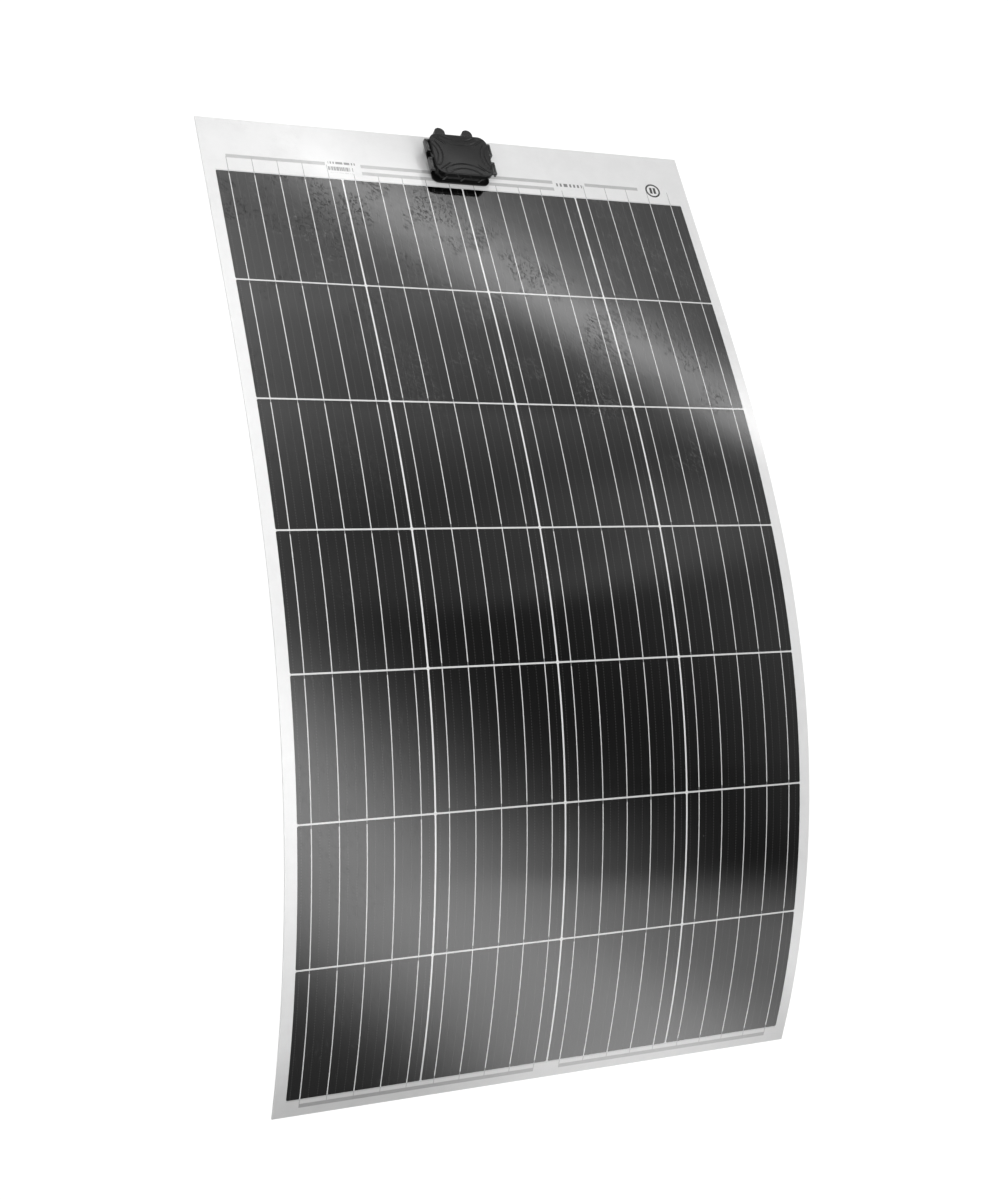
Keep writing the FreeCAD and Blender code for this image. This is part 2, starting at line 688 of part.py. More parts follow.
def bypass_diodes():
    """Two diodes with bent leads, each bridging the centre rail and an outer one."""
    across = Rotation(Vector(0, 1, 0), 90)
    height = f"({CAVITY_FLOOR} + dims.diode_axis_height - dims.jbox_foot_thickness)"
    diodes = []
    for number, side in enumerate((-1, 1)):
        middle = f"({side} * dims.outlet_pitch / 4)"
        case = rod(f"diode_case_{number}", "dims.diode_radius", "dims.diode_length",
                   (f"{middle} - dims.diode_length / 2", "dims.diode_reach", height), across)
        lead = rod(f"diode_lead_{number}", "dims.lead_radius", "dims.lead_length",
                   (f"{middle} - dims.lead_length / 2", "dims.diode_reach", height), across)
        whole = combine("Part::Fuse", f"diode_wire_{number}", case, lead)
        for end in (-1, 1):
            foot = f"{middle} + {end} * (dims.lead_length / 2 - 1.5 * dims.lead_radius)"
            leg = rod(f"diode_leg_{number}_{end + 1}", "dims.lead_leg_radius", f"{height} - {RAIL_TOP}",
                      (foot, "dims.diode_reach", RAIL_TOP))
            whole = combine("Part::Fuse", f"diode_{number}_{end + 1}", whole, leg)
        diodes.append(whole)
    return group("bypass_diodes", diodes)


def cable_clamps():
    """A brass block on each outer rail with a hole for the conductor and one for its screw."""
    along = Rotation(Vector(1, 0, 0), -90)
    height = "(dims.jbox_pad_thickness + dims.outlet_axis_height)"
    blocks, screws = [], []
    for number, x in enumerate(both_outlets()):
        side = "dims.clamp_side"
        block = centred_box(f"clamp_block_{number}", (side, side, side), (x, "dims.clamp_reach", RAIL_TOP))
        hole = rod(f"clamp_hole_{number}", "dims.conductor_radius", f"{side} + 2",
                   (x, f"dims.clamp_reach - {side} / 2 - 1", height), along)
        thread = rod(f"clamp_thread_{number}", "dims.screw_radius + dims.screw_clearance", side,
                     (x, "dims.clamp_reach", height))
        drilled = combine("Part::Cut", f"clamp_drilled_{number}", block, hole)
        blocks.append(combine("Part::Cut", f"clamp_{number}", drilled, thread))
        top = f"({RAIL_TOP} + {side})"
        shank_low = f"({height} + dims.conductor_radius)"
        shank = rod(f"screw_shank_{number}", "dims.screw_radius", f"{top} - {shank_low}",
                    (x, "dims.clamp_reach", shank_low))
        head = rod(f"screw_head_{number}", "dims.screw_head_radius", "dims.screw_head_thickness",
                   (x, "dims.clamp_reach", top))
        screws.append(combine("Part::Fuse", f"screw_{number}", shank, head))
    return group("cable_clamps", blocks), group("clamp_screws", screws)


# ---------------------------------------------------------------- frames of the rows

def arc_step(y, z, heading, turn, length):
    """Follows an arc of the given length from a point and heading, all angles in degrees."""
    middle = math.radians(heading + turn / 2)
    half = math.radians(abs(turn) / 2)
    chord = length * math.sin(half) / half if half > 0 else length
    return y + chord * math.cos(middle), z + chord * math.sin(middle), heading + turn


def row_chain():
    """Frames of the rows and of the hinge lines between them, with the root row at the origin."""
    half_pitch = value(PITCH) / 2
    rows = {ROOT_ROW: (0.0, 0.0, 0.0)}
    hinges = {}
    for step in (1, -1):
        row = ROOT_ROW
        while FIRST_ROW <= row + step <= LAST_ROW:
            y, z, heading = rows[row]
            turn = step * value(bend(row)) / 2
            y, z, heading = arc_step(y, z, heading, turn, -step * half_pitch)
            hinges[min(row, row + step)] = (y, z, heading)
            turn = step * value(bend(row + step)) / 2
            y, z, heading = arc_step(y, z, heading, turn, -step * half_pitch)
            row += step
            rows[row] = (y, z, heading)
    return rows, hinges


def as_placement(y, z, heading):
    return Placement(Vector(0, y, z), Rotation(Vector(1, 0, 0), heading))


def standing_frame(rows):
    """The turn about X that brings the lower corners of both ends to one height."""
    rear = value(REAR_FACE)
    top = value("dims.cell_side / 2 + dims.top_margin")
    slit = value("(dims.cell_gap - dims.flex_gap) / 2")
    bottom = slit - value("dims.bottom_margin")
    first = as_placement(*rows[FIRST_ROW]).multVec(Vector(0, top, rear))
    last = as_placement(*rows[LAST_ROW]).multiply(last_row_end()).multVec(Vector(0, bottom, rear))
    tilt = -math.degrees(math.atan2(first.z - last.z, first.y - last.y))
    return Placement(Vector(), Rotation(Vector(1, 0, 0), tilt))


# ---------------------------------------------------------------- assembly

parts_by_row = {row: [] for row in ROWS}
columns = cell_columns()
combs = {
    FIRST_ROW: ribbon_comb("comb_first", top_link_reach(), END_MARGIN_START),
    LAST_ROW: ribbon_comb("comb_last", END_MARGIN_START, bottom_link_reach()),
}
middle_comb = ribbon_comb("comb_middle", END_MARGIN_START, END_MARGIN_START)
left_bus, right_bus, centre_bus = top_buses()
low_buses = bottom_buses()
rating_label, plain_label, handling_mark = labels()

for row in ROWS:
    substrate = layer(f"substrate_row_{row}", row, REAR_FACE, "(-dims.encapsulant_thickness)")
    rear = layer(f"rear_encapsulant_row_{row}", row, "(-dims.encapsulant_thickness)", "0")
    cell_band = band(f"cell_band_{row}", row, "0", "dims.cell_thickness", "dims.cell_side")
    cells = combine("Part::Common", f"cells_row_{row}", cell_band, columns)
    ribbon_layer = layer(f"ribbon_layer_{row}", row, "dims.cell_thickness", RIBBON_TOP)
    ribbons = combine("Part::Common", f"ribbons_row_{row}", ribbon_layer, combs.get(row, middle_comb))
    front = layer(f"front_block_{row}", row, "0", LAMINATE_TOP)
    inlays = [cells, ribbons]
    if row == FIRST_ROW:
        inlays += [left_bus, right_bus, centre_bus, rating_label, plain_label, handling_mark]
        inlays.append(foil_slots("encapsulant_slots", "0", LAMINATE_TOP))
    if row == LAST_ROW:
        inlays.append(low_buses)
    for number, inlay in enumerate(inlays):
        front = combine("Part::Cut", f"front_cut_{row}_{number}", front, inlay)
    front.Label = f"front_encapsulant_row_{row}"
    film = layer(f"film_block_{row}", row, LAMINATE_TOP, FILM_TOP)
    if row == FIRST_ROW:
        film = combine("Part::Cut", "film_slotted", film, foil_slots("film_slots", LAMINATE_TOP, FILM_TOP))
    film.Label = f"front_film_row_{row}"
    parts_by_row[row] += [substrate, rear, cells, ribbons, front, film]

parts_by_row[FIRST_ROW] += [left_bus, right_bus, centre_bus, rating_label, plain_label, handling_mark]
parts_by_row[LAST_ROW].append(low_buses)

clamps, screws = cable_clamps()
box_frame_parts = [junction_pad(), cable_seals(), terminal_rails(), lead_foils(), bypass_diodes(),
                   clamps, screws]
stacked_parts = [
    (junction_base(), "dims.jbox_pad_thickness"),
    (junction_gasket(), "dims.jbox_pad_thickness + dims.jbox_base_tall"),
    (junction_lid(), "dims.jbox_pad_thickness + dims.jbox_base_tall + dims.jbox_gasket_thickness"
                     " + dims.jbox_seat_gap - dims.jbox_lid_skirt"),
]
doc.recompute()

row_places, hinge_places = row_chain()
stand = standing_frame(row_places)
row_frames = {row: stand.multiply(as_placement(*row_places[row])) for row in ROWS}
hinge_frames = {row: stand.multiply(as_placement(*hinge_places[row])) for row in hinge_places}
box_local = Placement(Vector(0, value("dims.cell_side / 2 + dims.jbox_offset"), value(FILM_TOP)), Rotation())
box_frame = row_frames[FIRST_ROW].multiply(box_local)

finished = []
for row in ROWS:
    for part in parts_by_row[row]:
        finished.append((part, row_frames[row]))
for part in box_frame_parts:
    finished.append((part, box_frame))
for part, height in stacked_parts:
    finished.append((part, box_frame.multiply(Placement(Vector(0, 0, value(height)), Rotation()))))


def whole_box():
    """Bounding box of everything where the frames put it."""
    total = FreeCAD.BoundBox()
    for part, frame in finished:
        shape = part.Shape.copy()
        shape.Placement = frame.multiply(shape.Placement)
        total.add(shape.optimalBoundingBox(False, False))
    return total


extent = whole_box()
shift = Placement(Vector(0, -extent.Center.y, -extent.ZMin), Rotation())
row_frames = {row: shift.multiply(frame) for row, frame in row_frames.items()}
hinge_frames = {row: shift.multiply(frame) for row, frame in hinge_frames.items()}
box_frame = shift.multiply(box_frame)


def set_frame(part, frame):
    """Gives a finished sub-part its place; a plain box keeps its own corner within the frame."""
    own = part.Placement
    for axis in "xyz":
        part.setExpression(f"Placement.Base.{axis}", None)
    part.Placement = shift.multiply(frame).multiply(own)


# A label or bus bar also cuts the encapsulant, so its own sub-part is a placed copy of it.
subparts = []
for part, frame in finished:
    label = part.Label
    used = [user for user in part.InList if user.isDerivedFrom("Part::Feature")]
    if used:
        part.Label = f"{label}_inlay"
        part = group(f"{label}_part", [part])
        part.Label = label
    set_frame(part, frame)
    subparts.append(part)
doc.recompute()

failed = [item.Label for item in doc.Objects if set(item.State) & {"Invalid", "Error"}]
if failed:
    raise RuntimeError(f"objects failed: {failed}")
for part in subparts:
    if part.Shape.isNull() or not part.Shape.isValid() or not part.Shape.Solids:
        raise RuntimeError(f"bad shape: {part.Label}")

os.makedirs("parts", exist_ok=True)
for part in subparts:
    part.Shape.exportStep(f"parts/{part.Label}.step")
print(f"{len(subparts)} sub-parts written")
for row in sorted(hinge_frames):
    line = hinge_frames[row].Base
    print(f"the sheet bends between rows {row} and {row + 1} at y {line.y:.3f}, z {line.z:.3f}")
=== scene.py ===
import json
import math

import bpy
from mathutils import Matrix, Vector


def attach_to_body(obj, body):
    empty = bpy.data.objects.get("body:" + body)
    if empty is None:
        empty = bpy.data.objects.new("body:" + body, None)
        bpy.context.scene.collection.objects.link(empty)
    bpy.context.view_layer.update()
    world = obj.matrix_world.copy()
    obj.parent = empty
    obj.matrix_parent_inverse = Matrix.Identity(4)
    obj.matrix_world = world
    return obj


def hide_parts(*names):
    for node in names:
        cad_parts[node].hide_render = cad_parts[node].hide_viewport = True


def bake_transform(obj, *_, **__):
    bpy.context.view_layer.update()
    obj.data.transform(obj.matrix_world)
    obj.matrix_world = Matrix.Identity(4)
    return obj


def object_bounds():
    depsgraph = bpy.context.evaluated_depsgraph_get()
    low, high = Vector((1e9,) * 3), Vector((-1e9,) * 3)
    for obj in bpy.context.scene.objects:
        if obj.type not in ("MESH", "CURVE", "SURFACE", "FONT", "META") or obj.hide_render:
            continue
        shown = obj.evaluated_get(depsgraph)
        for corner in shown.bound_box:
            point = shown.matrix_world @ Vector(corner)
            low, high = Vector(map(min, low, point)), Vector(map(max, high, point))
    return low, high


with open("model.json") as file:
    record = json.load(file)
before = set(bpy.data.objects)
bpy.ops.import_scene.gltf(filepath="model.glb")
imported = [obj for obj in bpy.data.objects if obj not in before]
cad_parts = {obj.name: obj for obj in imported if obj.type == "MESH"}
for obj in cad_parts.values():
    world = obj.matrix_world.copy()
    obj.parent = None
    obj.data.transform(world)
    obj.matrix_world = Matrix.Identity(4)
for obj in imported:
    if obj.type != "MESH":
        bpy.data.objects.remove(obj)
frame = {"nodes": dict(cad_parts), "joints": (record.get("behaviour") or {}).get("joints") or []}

# The flexible solar sheet of the CAD frame, with its laminate rebuilt as one continuous skin.
# A place on the sheet is given by x across it, s along it in the plane of the cells, counted
# from the middle of row 4 towards the junction box, and h, the height above that plane.

CAD_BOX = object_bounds()
MM = 0.001

# ---------------------------------------------------------------- the sheet's own measures
ROWS = 7
COLUMNS = 4
ROOT_ROW = 4
CELL = 156.75 * MM
GAP = 2.0 * MM
PITCH = CELL + GAP
FLEX_GAP = 0.5 * MM
BENDS = (0.0, 3.0, 6.0, 9.0, 10.5, 10.5, 10.5)
SIDE_MARGIN = 14.0 * MM
TOP_MARGIN = 80.0 * MM
BOTTOM_MARGIN = 22.0 * MM
CELLS_WIDTH = COLUMNS * PITCH - GAP
SHEET_WIDTH = CELLS_WIDTH + 2 * SIDE_MARGIN
CELL_CORNER = 1.2 * MM
RIBBONS = 5
RIBBON_WIDTH = 1.15 * MM
LINK_WIDTH = 0.7 * MM
WIRE_EASE = 0.03 * MM
SKIN_EASE = 0.2 * MM
SETBACK = 4.0 * MM
BUS_WIDTH = 5.0 * MM
STATION_STEP = 2.0 * MM
WIRE_STEP = 4.0 * MM
END_STEP = 0.1 * MM

# heights of the visible layers above the plane of the cells
REAR_FACE = -1.55 * MM
SUBSTRATE_TOP = -0.35 * MM
SKIN_TOP = 0.70 * MM
PRINT_TOP = 0.73 * MM
CELL_TOP = 0.76 * MM
MARK_TOP = 0.78 * MM
LINK_TOP = 0.78 * MM
RIBBON_TOP = 0.80 * MM
BURIED = 0.45 * MM

TOP_CELL_EDGE = (ROOT_ROW - 1) * PITCH + CELL / 2
BOTTOM_CELL_EDGE = -(ROWS - ROOT_ROW) * PITCH - CELL / 2
TOP_END = TOP_CELL_EDGE + TOP_MARGIN
BOTTOM_END = BOTTOM_CELL_EDGE - BOTTOM_MARGIN


def hinge_lines():
    """Place (y, z) of each flex joint, keyed by the row above it."""
    lines = {}
    for joint in frame["joints"]:
        if joint["name"].startswith("flex_"):
            lines[int(joint["name"].split("_")[1])] = joint["pos_m"][1:]
    return lines


HINGES = hinge_lines()


def row_middle(row):
    """Where a row's middle lies along the sheet."""
    return (ROOT_ROW - row) * PITCH


def chord_heading(row):
    """Heading of the sheet at the middle of a row that lies between two hinges."""
    (y0, z0), (y1, z1) = HINGES[row], HINGES[row - 1]
    return math.atan2(z1 - z0, y1 - y0)


def along(s):
    """Place (y, z) and heading of the cells' plane at a distance s along the sheet."""
    row = min(ROWS, max(1, ROOT_ROW - round(s / PITCH)))
    hinge = min(row, ROWS - 1)
    turn = math.radians(BENDS[row - 1])
    if row == 1:
        heading = chord_heading(2) - math.radians(BENDS[1]) / 2
    elif row == ROWS:
        heading = chord_heading(ROWS - 1) + math.radians(BENDS[ROWS - 2]) / 2
    else:
        heading = chord_heading(row) + turn / 2
    reach = s - (row_middle(hinge) - PITCH / 2)
    bent = max(reach, FLEX_GAP / 2 - PITCH) if row == ROWS else reach
    half = -turn * bent / PITCH / 2
    chord = bent * (math.sin(half) / half if abs(half) > 1e-9 else 1.0)
    y, z = HINGES[hinge]
    y += chord * math.cos(heading + half)
    z += chord * math.sin(heading + half)
    heading += 2 * half
    straight = reach - bent
    return y + straight * math.cos(heading), z + straight * math.sin(heading), heading


def put(x, s, h):
    """A place on the sheet as a point of the frame."""
    y, z, heading = along(s)
    return Vector((x, y - h * math.sin(heading), z + h * math.cos(heading)))


# ---------------------------------------------------------------- pieces made of strips

# edges that turn by more degrees than this stay sharp
SKIN_CREASE = 35.0
MOULDING_CREASE = 32.0

class Skin:
    """Closed strips that follow the sheet, gathered into one mesh."""

    def __init__(self):
        self.points = []
        self.faces = []
        self.places = []

    def loop(self, s, outline):
        """One cross section, as points (x, h) in order round it."""
        y, z, heading = along(s)
        rise_y, rise_z = -math.sin(heading), math.cos(heading)
        first = len(self.points)
        for x, h in outline:
            self.points.append((x, y + h * rise_y, z + h * rise_z))
            self.places.append((x, s, h))
        return list(range(first, len(self.points)))

    def strip(self, sections):
        """Joins cross sections (s, outline) with equal numbers of points into a closed solid."""
        loops = [self.loop(s, outline) for s, outline in sections]
        count = len(loops[0])
        for near, far in zip(loops, loops[1:]):
            for i in range(count):
                j = (i + 1) % count
                self.faces.append((near[i], near[j], far[j], far[i]))
        self.faces.append(tuple(reversed(loops[0])))
        self.faces.append(tuple(loops[-1]))

    def piece(self, name, material):
        piece = make_piece(name, self.points, self.faces, material, SKIN_CREASE)
        place = piece.data.attributes.new("sheet", "FLOAT_VECTOR", "POINT")
        flat = [value / MM for point in self.places for value in point]
        place.data.foreach_set("vector", flat)
        return piece


def make_piece(name, points, faces, material, crease):
    """An object with smooth shading, where edges sharper than the crease angle stay sharp."""
    mesh = bpy.data.meshes.new(name)
    mesh.from_pydata(points, [], faces)
    mesh.validate()
    mesh.shade_smooth()
    mesh.set_sharp_from_angle(angle=math.radians(crease))
    mesh.update()
    mesh.materials.append(material)
    piece = bpy.data.objects.new(name, mesh)
    bpy.context.scene.collection.objects.link(piece)
    return piece


def stations(start, end, step=STATION_STEP):
    """Places along the sheet from start to end, with a short first and last step."""
    edge = END_STEP if start < end else -END_STEP
    if abs(end - start) <= 4 * abs(edge):
        return [start, end]
    count = max(1, round(abs(end - start) / step))
    inner = [start + edge + (end - start - 2 * edge) * i / count for i in range(count + 1)]
    return [start] + inner + [end]


def slab(left, right, low, high, ease=0.0):
    """Outline of a flat cross section, with its two upper corners cut by ease."""
    if ease <= 0:
        return [(left, low), (right, low), (right, high), (left, high)]
    return [(left, low), (right, low), (right, high - ease), (right - ease, high),
            (left + ease, high), (left, high - ease)]


def band(skin, start, end, left, right, low, high, ease=0.0, step=STATION_STEP):
    """A plain strip of even width from start to end."""
    outline = slab(left, right, low, high, ease)
    skin.strip([(s, outline) for s in stations(start, end, step)])


# ---------------------------------------------------------------- spans between the rows

def span_ends(span):
    """Span 0 is the top end, span k reaches from the middle of row k to that of row k + 1."""
    start = TOP_END if span == 0 else row_middle(span)
    end = BOTTOM_END if span == ROWS else row_middle(span + 1)
    return start, end


def attach(piece, span):
    """Makes a piece of an end span follow its row; a piece of any other span only has its placement baked
    into its mesh.
    """
    if span in (0, ROWS):
        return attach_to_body(piece, f"row_{max(1, span)}")
    start, end = span_ends(span)
    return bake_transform(piece, f"row_{span}", f"row_{span + 1}", start=put(0, start, 0), end=put(0, end, 0))


def rows_of(span):
    """Rows that a span covers in part."""
    return [row for row in (span, span + 1) if 1 <= row <= ROWS]


def column_left(column):
    """Left edge of a column of cells, counted from 0."""
    return column * PITCH - CELLS_WIDTH / 2


def ribbon_middle(column, ribbon):
    return column_left(column) + (ribbon + 0.5) * CELL / RIBBONS


def half_cell(skin, column, middle, edge):
    """A cell from its middle to its edge, with small cuts at the two corners there."""
    left, right = column_left(column), column_left(column) + CELL
    direction = 1 if edge > middle else -1
    whole = slab(left, right, BURIED, CELL_TOP)
    cut = slab(left + CELL_CORNER, right - CELL_CORNER, BURIED, CELL_TOP)
    places = stations(middle, edge - direction * CELL_CORNER)
    skin.strip([(s, whole) for s in places] + [(edge, cut)])


def cells_piece(span):
    """The halves of the cells that lie in a span."""
    skin = Skin()
    for row in rows_of(span):
        reach = CELL / 2 if row > span else -CELL / 2
        for column in range(COLUMNS):
            half_cell(skin, column, row_middle(row), row_middle(row) + reach)
    return skin.piece(f"cells_span_{span}", CELLS)


def ribbon_runs(span, column):
    """Runs (start, end) of a column's ribbons along the sheet inside a span.

    Columns 0 and 2 leave each cell over its lower edge, columns 1 and 3 over its upper edge.
    On the other side the wide ribbon stops short of the cell's edge.
    """
    leaves_below = column % 2 == 0
    upper_edge = row_middle(span) - CELL / 2
    lower_edge = row_middle(span + 1) + CELL / 2
    if span == 0:
        return [(TOP_CELL_EDGE - (SETBACK if leaves_below else 0.0), row_middle(1))]
    if span == ROWS:
        return [(row_middle(ROWS), BOTTOM_CELL_EDGE + (0.0 if leaves_below else SETBACK))]
    if leaves_below:
        return [(row_middle(span), lower_edge), (lower_edge - SETBACK, row_middle(span + 1))]
    return [(row_middle(span), upper_edge + SETBACK), (upper_edge, row_middle(span + 1))]


def link_runs(span, column):
    """Runs of the narrow links: to the bus bars, and where a ribbon stops short of an edge."""
    leaves_below = column % 2 == 0
    if span == 0:
        reach = (OUTER_BUS if column in (0, 3) else CENTRE_BUS) - BUS_WIDTH / 2 + 1 * MM
        return [(TOP_CELL_EDGE + reach, TOP_CELL_EDGE - (SETBACK if leaves_below else 0.0))]
    if span == ROWS:
        low = BOTTOM_CELL_EDGE - BOTTOM_BUS - BUS_WIDTH / 2
        return [(BOTTOM_CELL_EDGE + (0.0 if leaves_below else SETBACK), low)]
    upper_edge = row_middle(span) - CELL / 2
    lower_edge = row_middle(span + 1) + CELL / 2
    if leaves_below:
        return [(lower_edge, lower_edge - SETBACK)]
    return [(upper_edge + SETBACK, upper_edge)]


def wires(name, span, runs, width, top, material):
    """The ribbons or links of a span, five to a column."""
    skin = Skin()
    for column in range(COLUMNS):
        for ribbon in range(RIBBONS):
            middle = ribbon_middle(column, ribbon)
            for start, end in runs(span, column):
                band(skin, start, end, middle - width / 2, middle + width / 2, BURIED, top,
                     ease=WIRE_EASE, step=WIRE_STEP)
    return skin.piece(f"{name}_span_{span}", material)


def sheet_layer(name, span, low, high, material, ease):
    """One full-width layer of a span, with its outer corners eased."""
    skin = Skin()
    start, end = span_ends(span)
    half = SHEET_WIDTH / 2
    band(skin, start, end, -half, half, low, high, ease)
    return skin.piece(name, material)


# distances of the bus bars' middles from the cells' edge
OUTER_BUS = 23.0 * MM
CENTRE_BUS = 12.0 * MM
BOTTOM_BUS = 9.0 * MM
OUTER_BUS_INNER_END = 15.0 * MM


def bus_bar(name, nodes, bars, body):
    """Bars (left, right, start, end) in one end margin, replacing the CAD nodes given."""
    skin = Skin()
    for left, right, start, end in bars:
        band(skin, start, end, left, right, BURIED, PRINT_TOP)
    piece = skin.piece(name, BUS)
    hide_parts(*nodes)
    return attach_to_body(piece, body)


def bus_bars():
    """Two terminal bars and a centre tap in the top margin, two joining bars in the bottom one."""
    half = BUS_WIDTH / 2
    outer = TOP_CELL_EDGE + OUTER_BUS
    centre = TOP_CELL_EDGE + CENTRE_BUS
    first, last = ribbon_middle(0, 0), ribbon_middle(3, 4)
    bus_bar("bus_left", ["bus_left_terminal"],
            [(first, -OUTER_BUS_INNER_END, outer - half, outer + half)], "row_1")
    bus_bar("bus_right", ["bus_right_terminal"],
            [(OUTER_BUS_INNER_END, last, outer - half, outer + half)], "row_1")
    bus_bar("bus_centre", ["bus_centre_tap"],
            [(ribbon_middle(1, 0), ribbon_middle(2, 4), centre - half, centre + half),
             (-half, half, centre, outer + half)], "row_1")
    low = BOTTOM_CELL_EDGE - BOTTOM_BUS
    bus_bar("bus_bottom", ["buses_bottom"],
            [(first, ribbon_middle(1, 4), low - half, low + half),
             (ribbon_middle(2, 0), last, low - half, low + half)], "row_7")


def laminate():
    """The whole laminate, span by span."""
    for span in range(ROWS + 1):
        rows = rows_of(span)
        substrate = sheet_layer(f"substrate_span_{span}", span, REAR_FACE, SUBSTRATE_TOP, SUBSTRATE, 0.0)
        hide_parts(*[f"substrate_row_{row}" for row in rows])
        skin = sheet_layer(f"skin_span_{span}", span, SUBSTRATE_TOP, SKIN_TOP, SKIN, SKIN_EASE)
        layers = ("rear_encapsulant", "front_encapsulant", "front_film")
        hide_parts(*[f"{layer}_row_{row}" for row in rows for layer in layers])
        cells = cells_piece(span)
        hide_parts(*[f"cells_row_{row}" for row in rows])
        ribbons = wires("ribbons", span, ribbon_runs, RIBBON_WIDTH, RIBBON_TOP, RIBBON)
        links = wires("links", span, link_runs, LINK_WIDTH, LINK_TOP, LINK)
        for piece in (ribbons, links):
            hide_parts(*[f"ribbons_row_{row}" for row in rows])
        for piece in (substrate, skin, cells, ribbons, links):
            attach(piece, span)


# ---------------------------------------------------------------- labels

# middles of the printed patches, from the sheet's middle line and the cells' edge, and their sizes
LABEL_LEFT = (-154.0 * MM, 18.0 * MM)
LABEL_LEFT_SIZE = (46.0 * MM, 23.0 * MM)
LABEL_RIGHT = (155.0 * MM, 18.5 * MM)
LABEL_RIGHT_SIZE = (47.0 * MM, 19.0 * MM)
MARK = (280.0 * MM, 22.5 * MM)
MARK_SIZE = (46.0 * MM, 23.0 * MM)
RING_INNER = 8.5 * MM
RING_OUTER = 10.9 * MM
BAR_WIDTH = 3.6 * MM
BAR_LENGTH = 9.6 * MM
BAR_PITCH = 5.4 * MM


def patch(skin, x, s, width, length, top):
    """A rectangle centred on (x, s)."""
    band(skin, s - length / 2, s + length / 2, x - width / 2, x + width / 2, BURIED, top)


def label(name, node, middle, size, material):
    """A printed patch under the film."""
    skin = Skin()
    patch(skin, middle[0], TOP_CELL_EDGE + middle[1], *size, CELL_TOP)
    piece = skin.piece(name, material)
    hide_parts(node)
    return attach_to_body(piece, "row_1")


def round_mark():
    """A ring with two plain bars, printed on its patch."""
    x, s = MARK[0], TOP_CELL_EDGE + MARK[1]
    skin = Skin()
    ring_annulus(skin, x, s, RING_INNER, RING_OUTER, BURIED, MARK_TOP, 64)
    for side in (-1, 1):
        patch(skin, x + side * BAR_PITCH / 2, s, BAR_WIDTH, BAR_LENGTH, MARK_TOP)
    mark = skin.piece("handling_ring", PRINT)
    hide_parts("handling_mark")
    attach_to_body(mark, "row_1")


def ring_annulus(skin, x, s, inner, outer, low, high, count):
    """A flat ring as a closed solid."""
    loops = []
    for i in range(count):
        angle = 2 * math.pi * i / count
        loop = []
        for radius, h in ((inner, low), (outer, low), (outer, high), (inner, high)):
            px, ps = x + radius * math.cos(angle), s + radius * math.sin(angle)
            skin.points.append(tuple(put(px, ps, h)))
            skin.places.append((px, ps, h))
            loop.append(len(skin.points) - 1)
        loops.append(loop)
    for i in range(count):
        near, far = loops[i], loops[(i + 1) % count]
        for a in range(4):
            b = (a + 1) % 4
            skin.faces.append((near[a], near[b], far[b], far[a]))


# ---------------------------------------------------------------- material helpers

class Graph:
    """Short-hand for building a node tree."""

    def __init__(self, tree):
        self.tree = tree

    def node(self, kind, inputs=None, **settings):
        node = self.tree.nodes.new(kind)
        for name, setting in settings.items():
            setattr(node, name, setting)
        for key, source in (inputs or {}).items():
            self.plug(node.inputs[key], source)
        return node

    def plug(self, socket, source):
        if isinstance(source, bpy.types.NodeSocket):
            self.tree.links.new(source, socket)
        else:
            socket.default_value = source

    def math(self, operation, *values):
        node = self.node("ShaderNodeMath", operation=operation)
        for socket, source in zip(node.inputs, values):
            self.plug(socket, source)
        return node.outputs[0]

    def vector(self, operation, *values):
        node = self.node("ShaderNodeVectorMath", operation=operation)
        for socket, source in zip(node.inputs, values):
            self.plug(socket, source)
        return node.outputs["Value" if operation in ("DOT_PRODUCT", "LENGTH") else "Vector"]

    def scaled(self, vector, factors):
        return self.vector("MULTIPLY", vector, factors)

    def noise(self, vector, scale, detail=2.0, roughness=0.5, distortion=0.0):
        return self.node("ShaderNodeTexNoise", {
            "Vector": vector, "Scale": scale, "Detail": detail, "Roughness": roughness,
            "Distortion": distortion}).outputs["Fac"]

    def ramp(self, value, low, high, to_low=0.0, to_high=1.0):
        """Smooth change from to_low to to_high while the value goes from low to high."""
        return self.node("ShaderNodeMapRange", {
            "Value": value, "From Min": low, "From Max": high, "To Min": to_low, "To Max": to_high},
            interpolation_type="SMOOTHSTEP").outputs["Result"]

    def mix(self, factor, first, second):
        """Blend of two greys or colours."""
        node = self.node("ShaderNodeMix", data_type="RGBA")
        self.plug(node.inputs["Factor"], factor)
        self.plug(node.inputs["A"], shade(first))
        self.plug(node.inputs["B"], shade(second))
        return node.outputs["Result"]

    def product(self, first, *others):
        for other in others:
            first = self.math("MULTIPLY", first, other)
        return first

    def apart(self, value, middle):
        """Distance of a value from a middle."""
        return self.math("ABSOLUTE", self.math("SUBTRACT", value, middle))

    def parts(self, vector):
        """The X and Y of a vector."""
        outputs = self.node("ShaderNodeSeparateXYZ", {"Vector": vector}).outputs
        return outputs["X"], outputs["Y"]

    def grey(self, tone):
        return self.mix(tone, 0.0, 1.0)

    def bump(self, height):
        """Normal of a surface raised by a height in metres."""
        return self.node("ShaderNodeBump", {
            "Height": height, "Distance": 1.0, "Strength": 1.0}).outputs["Normal"]


def shade(source):
    """A socket as it is, or a grey value as a colour."""
    if isinstance(source, (int, float)):
        return (source, source, source, 1.0)
    if isinstance(source, tuple) and len(source) == 3:
        return (*source, 1.0)
    return source


def new_material(name, **principled):
    """A material with one Principled shader, and the graph to build on it."""
    material = bpy.data.materials.new(name)
    material.use_nodes = True
    graph = Graph(material.node_tree)
    shader = material.node_tree.nodes["Principled BSDF"]
    for key, setting in principled.items():
        shader.inputs[key.replace("_", " ")].default_value = setting
    return material, graph, shader


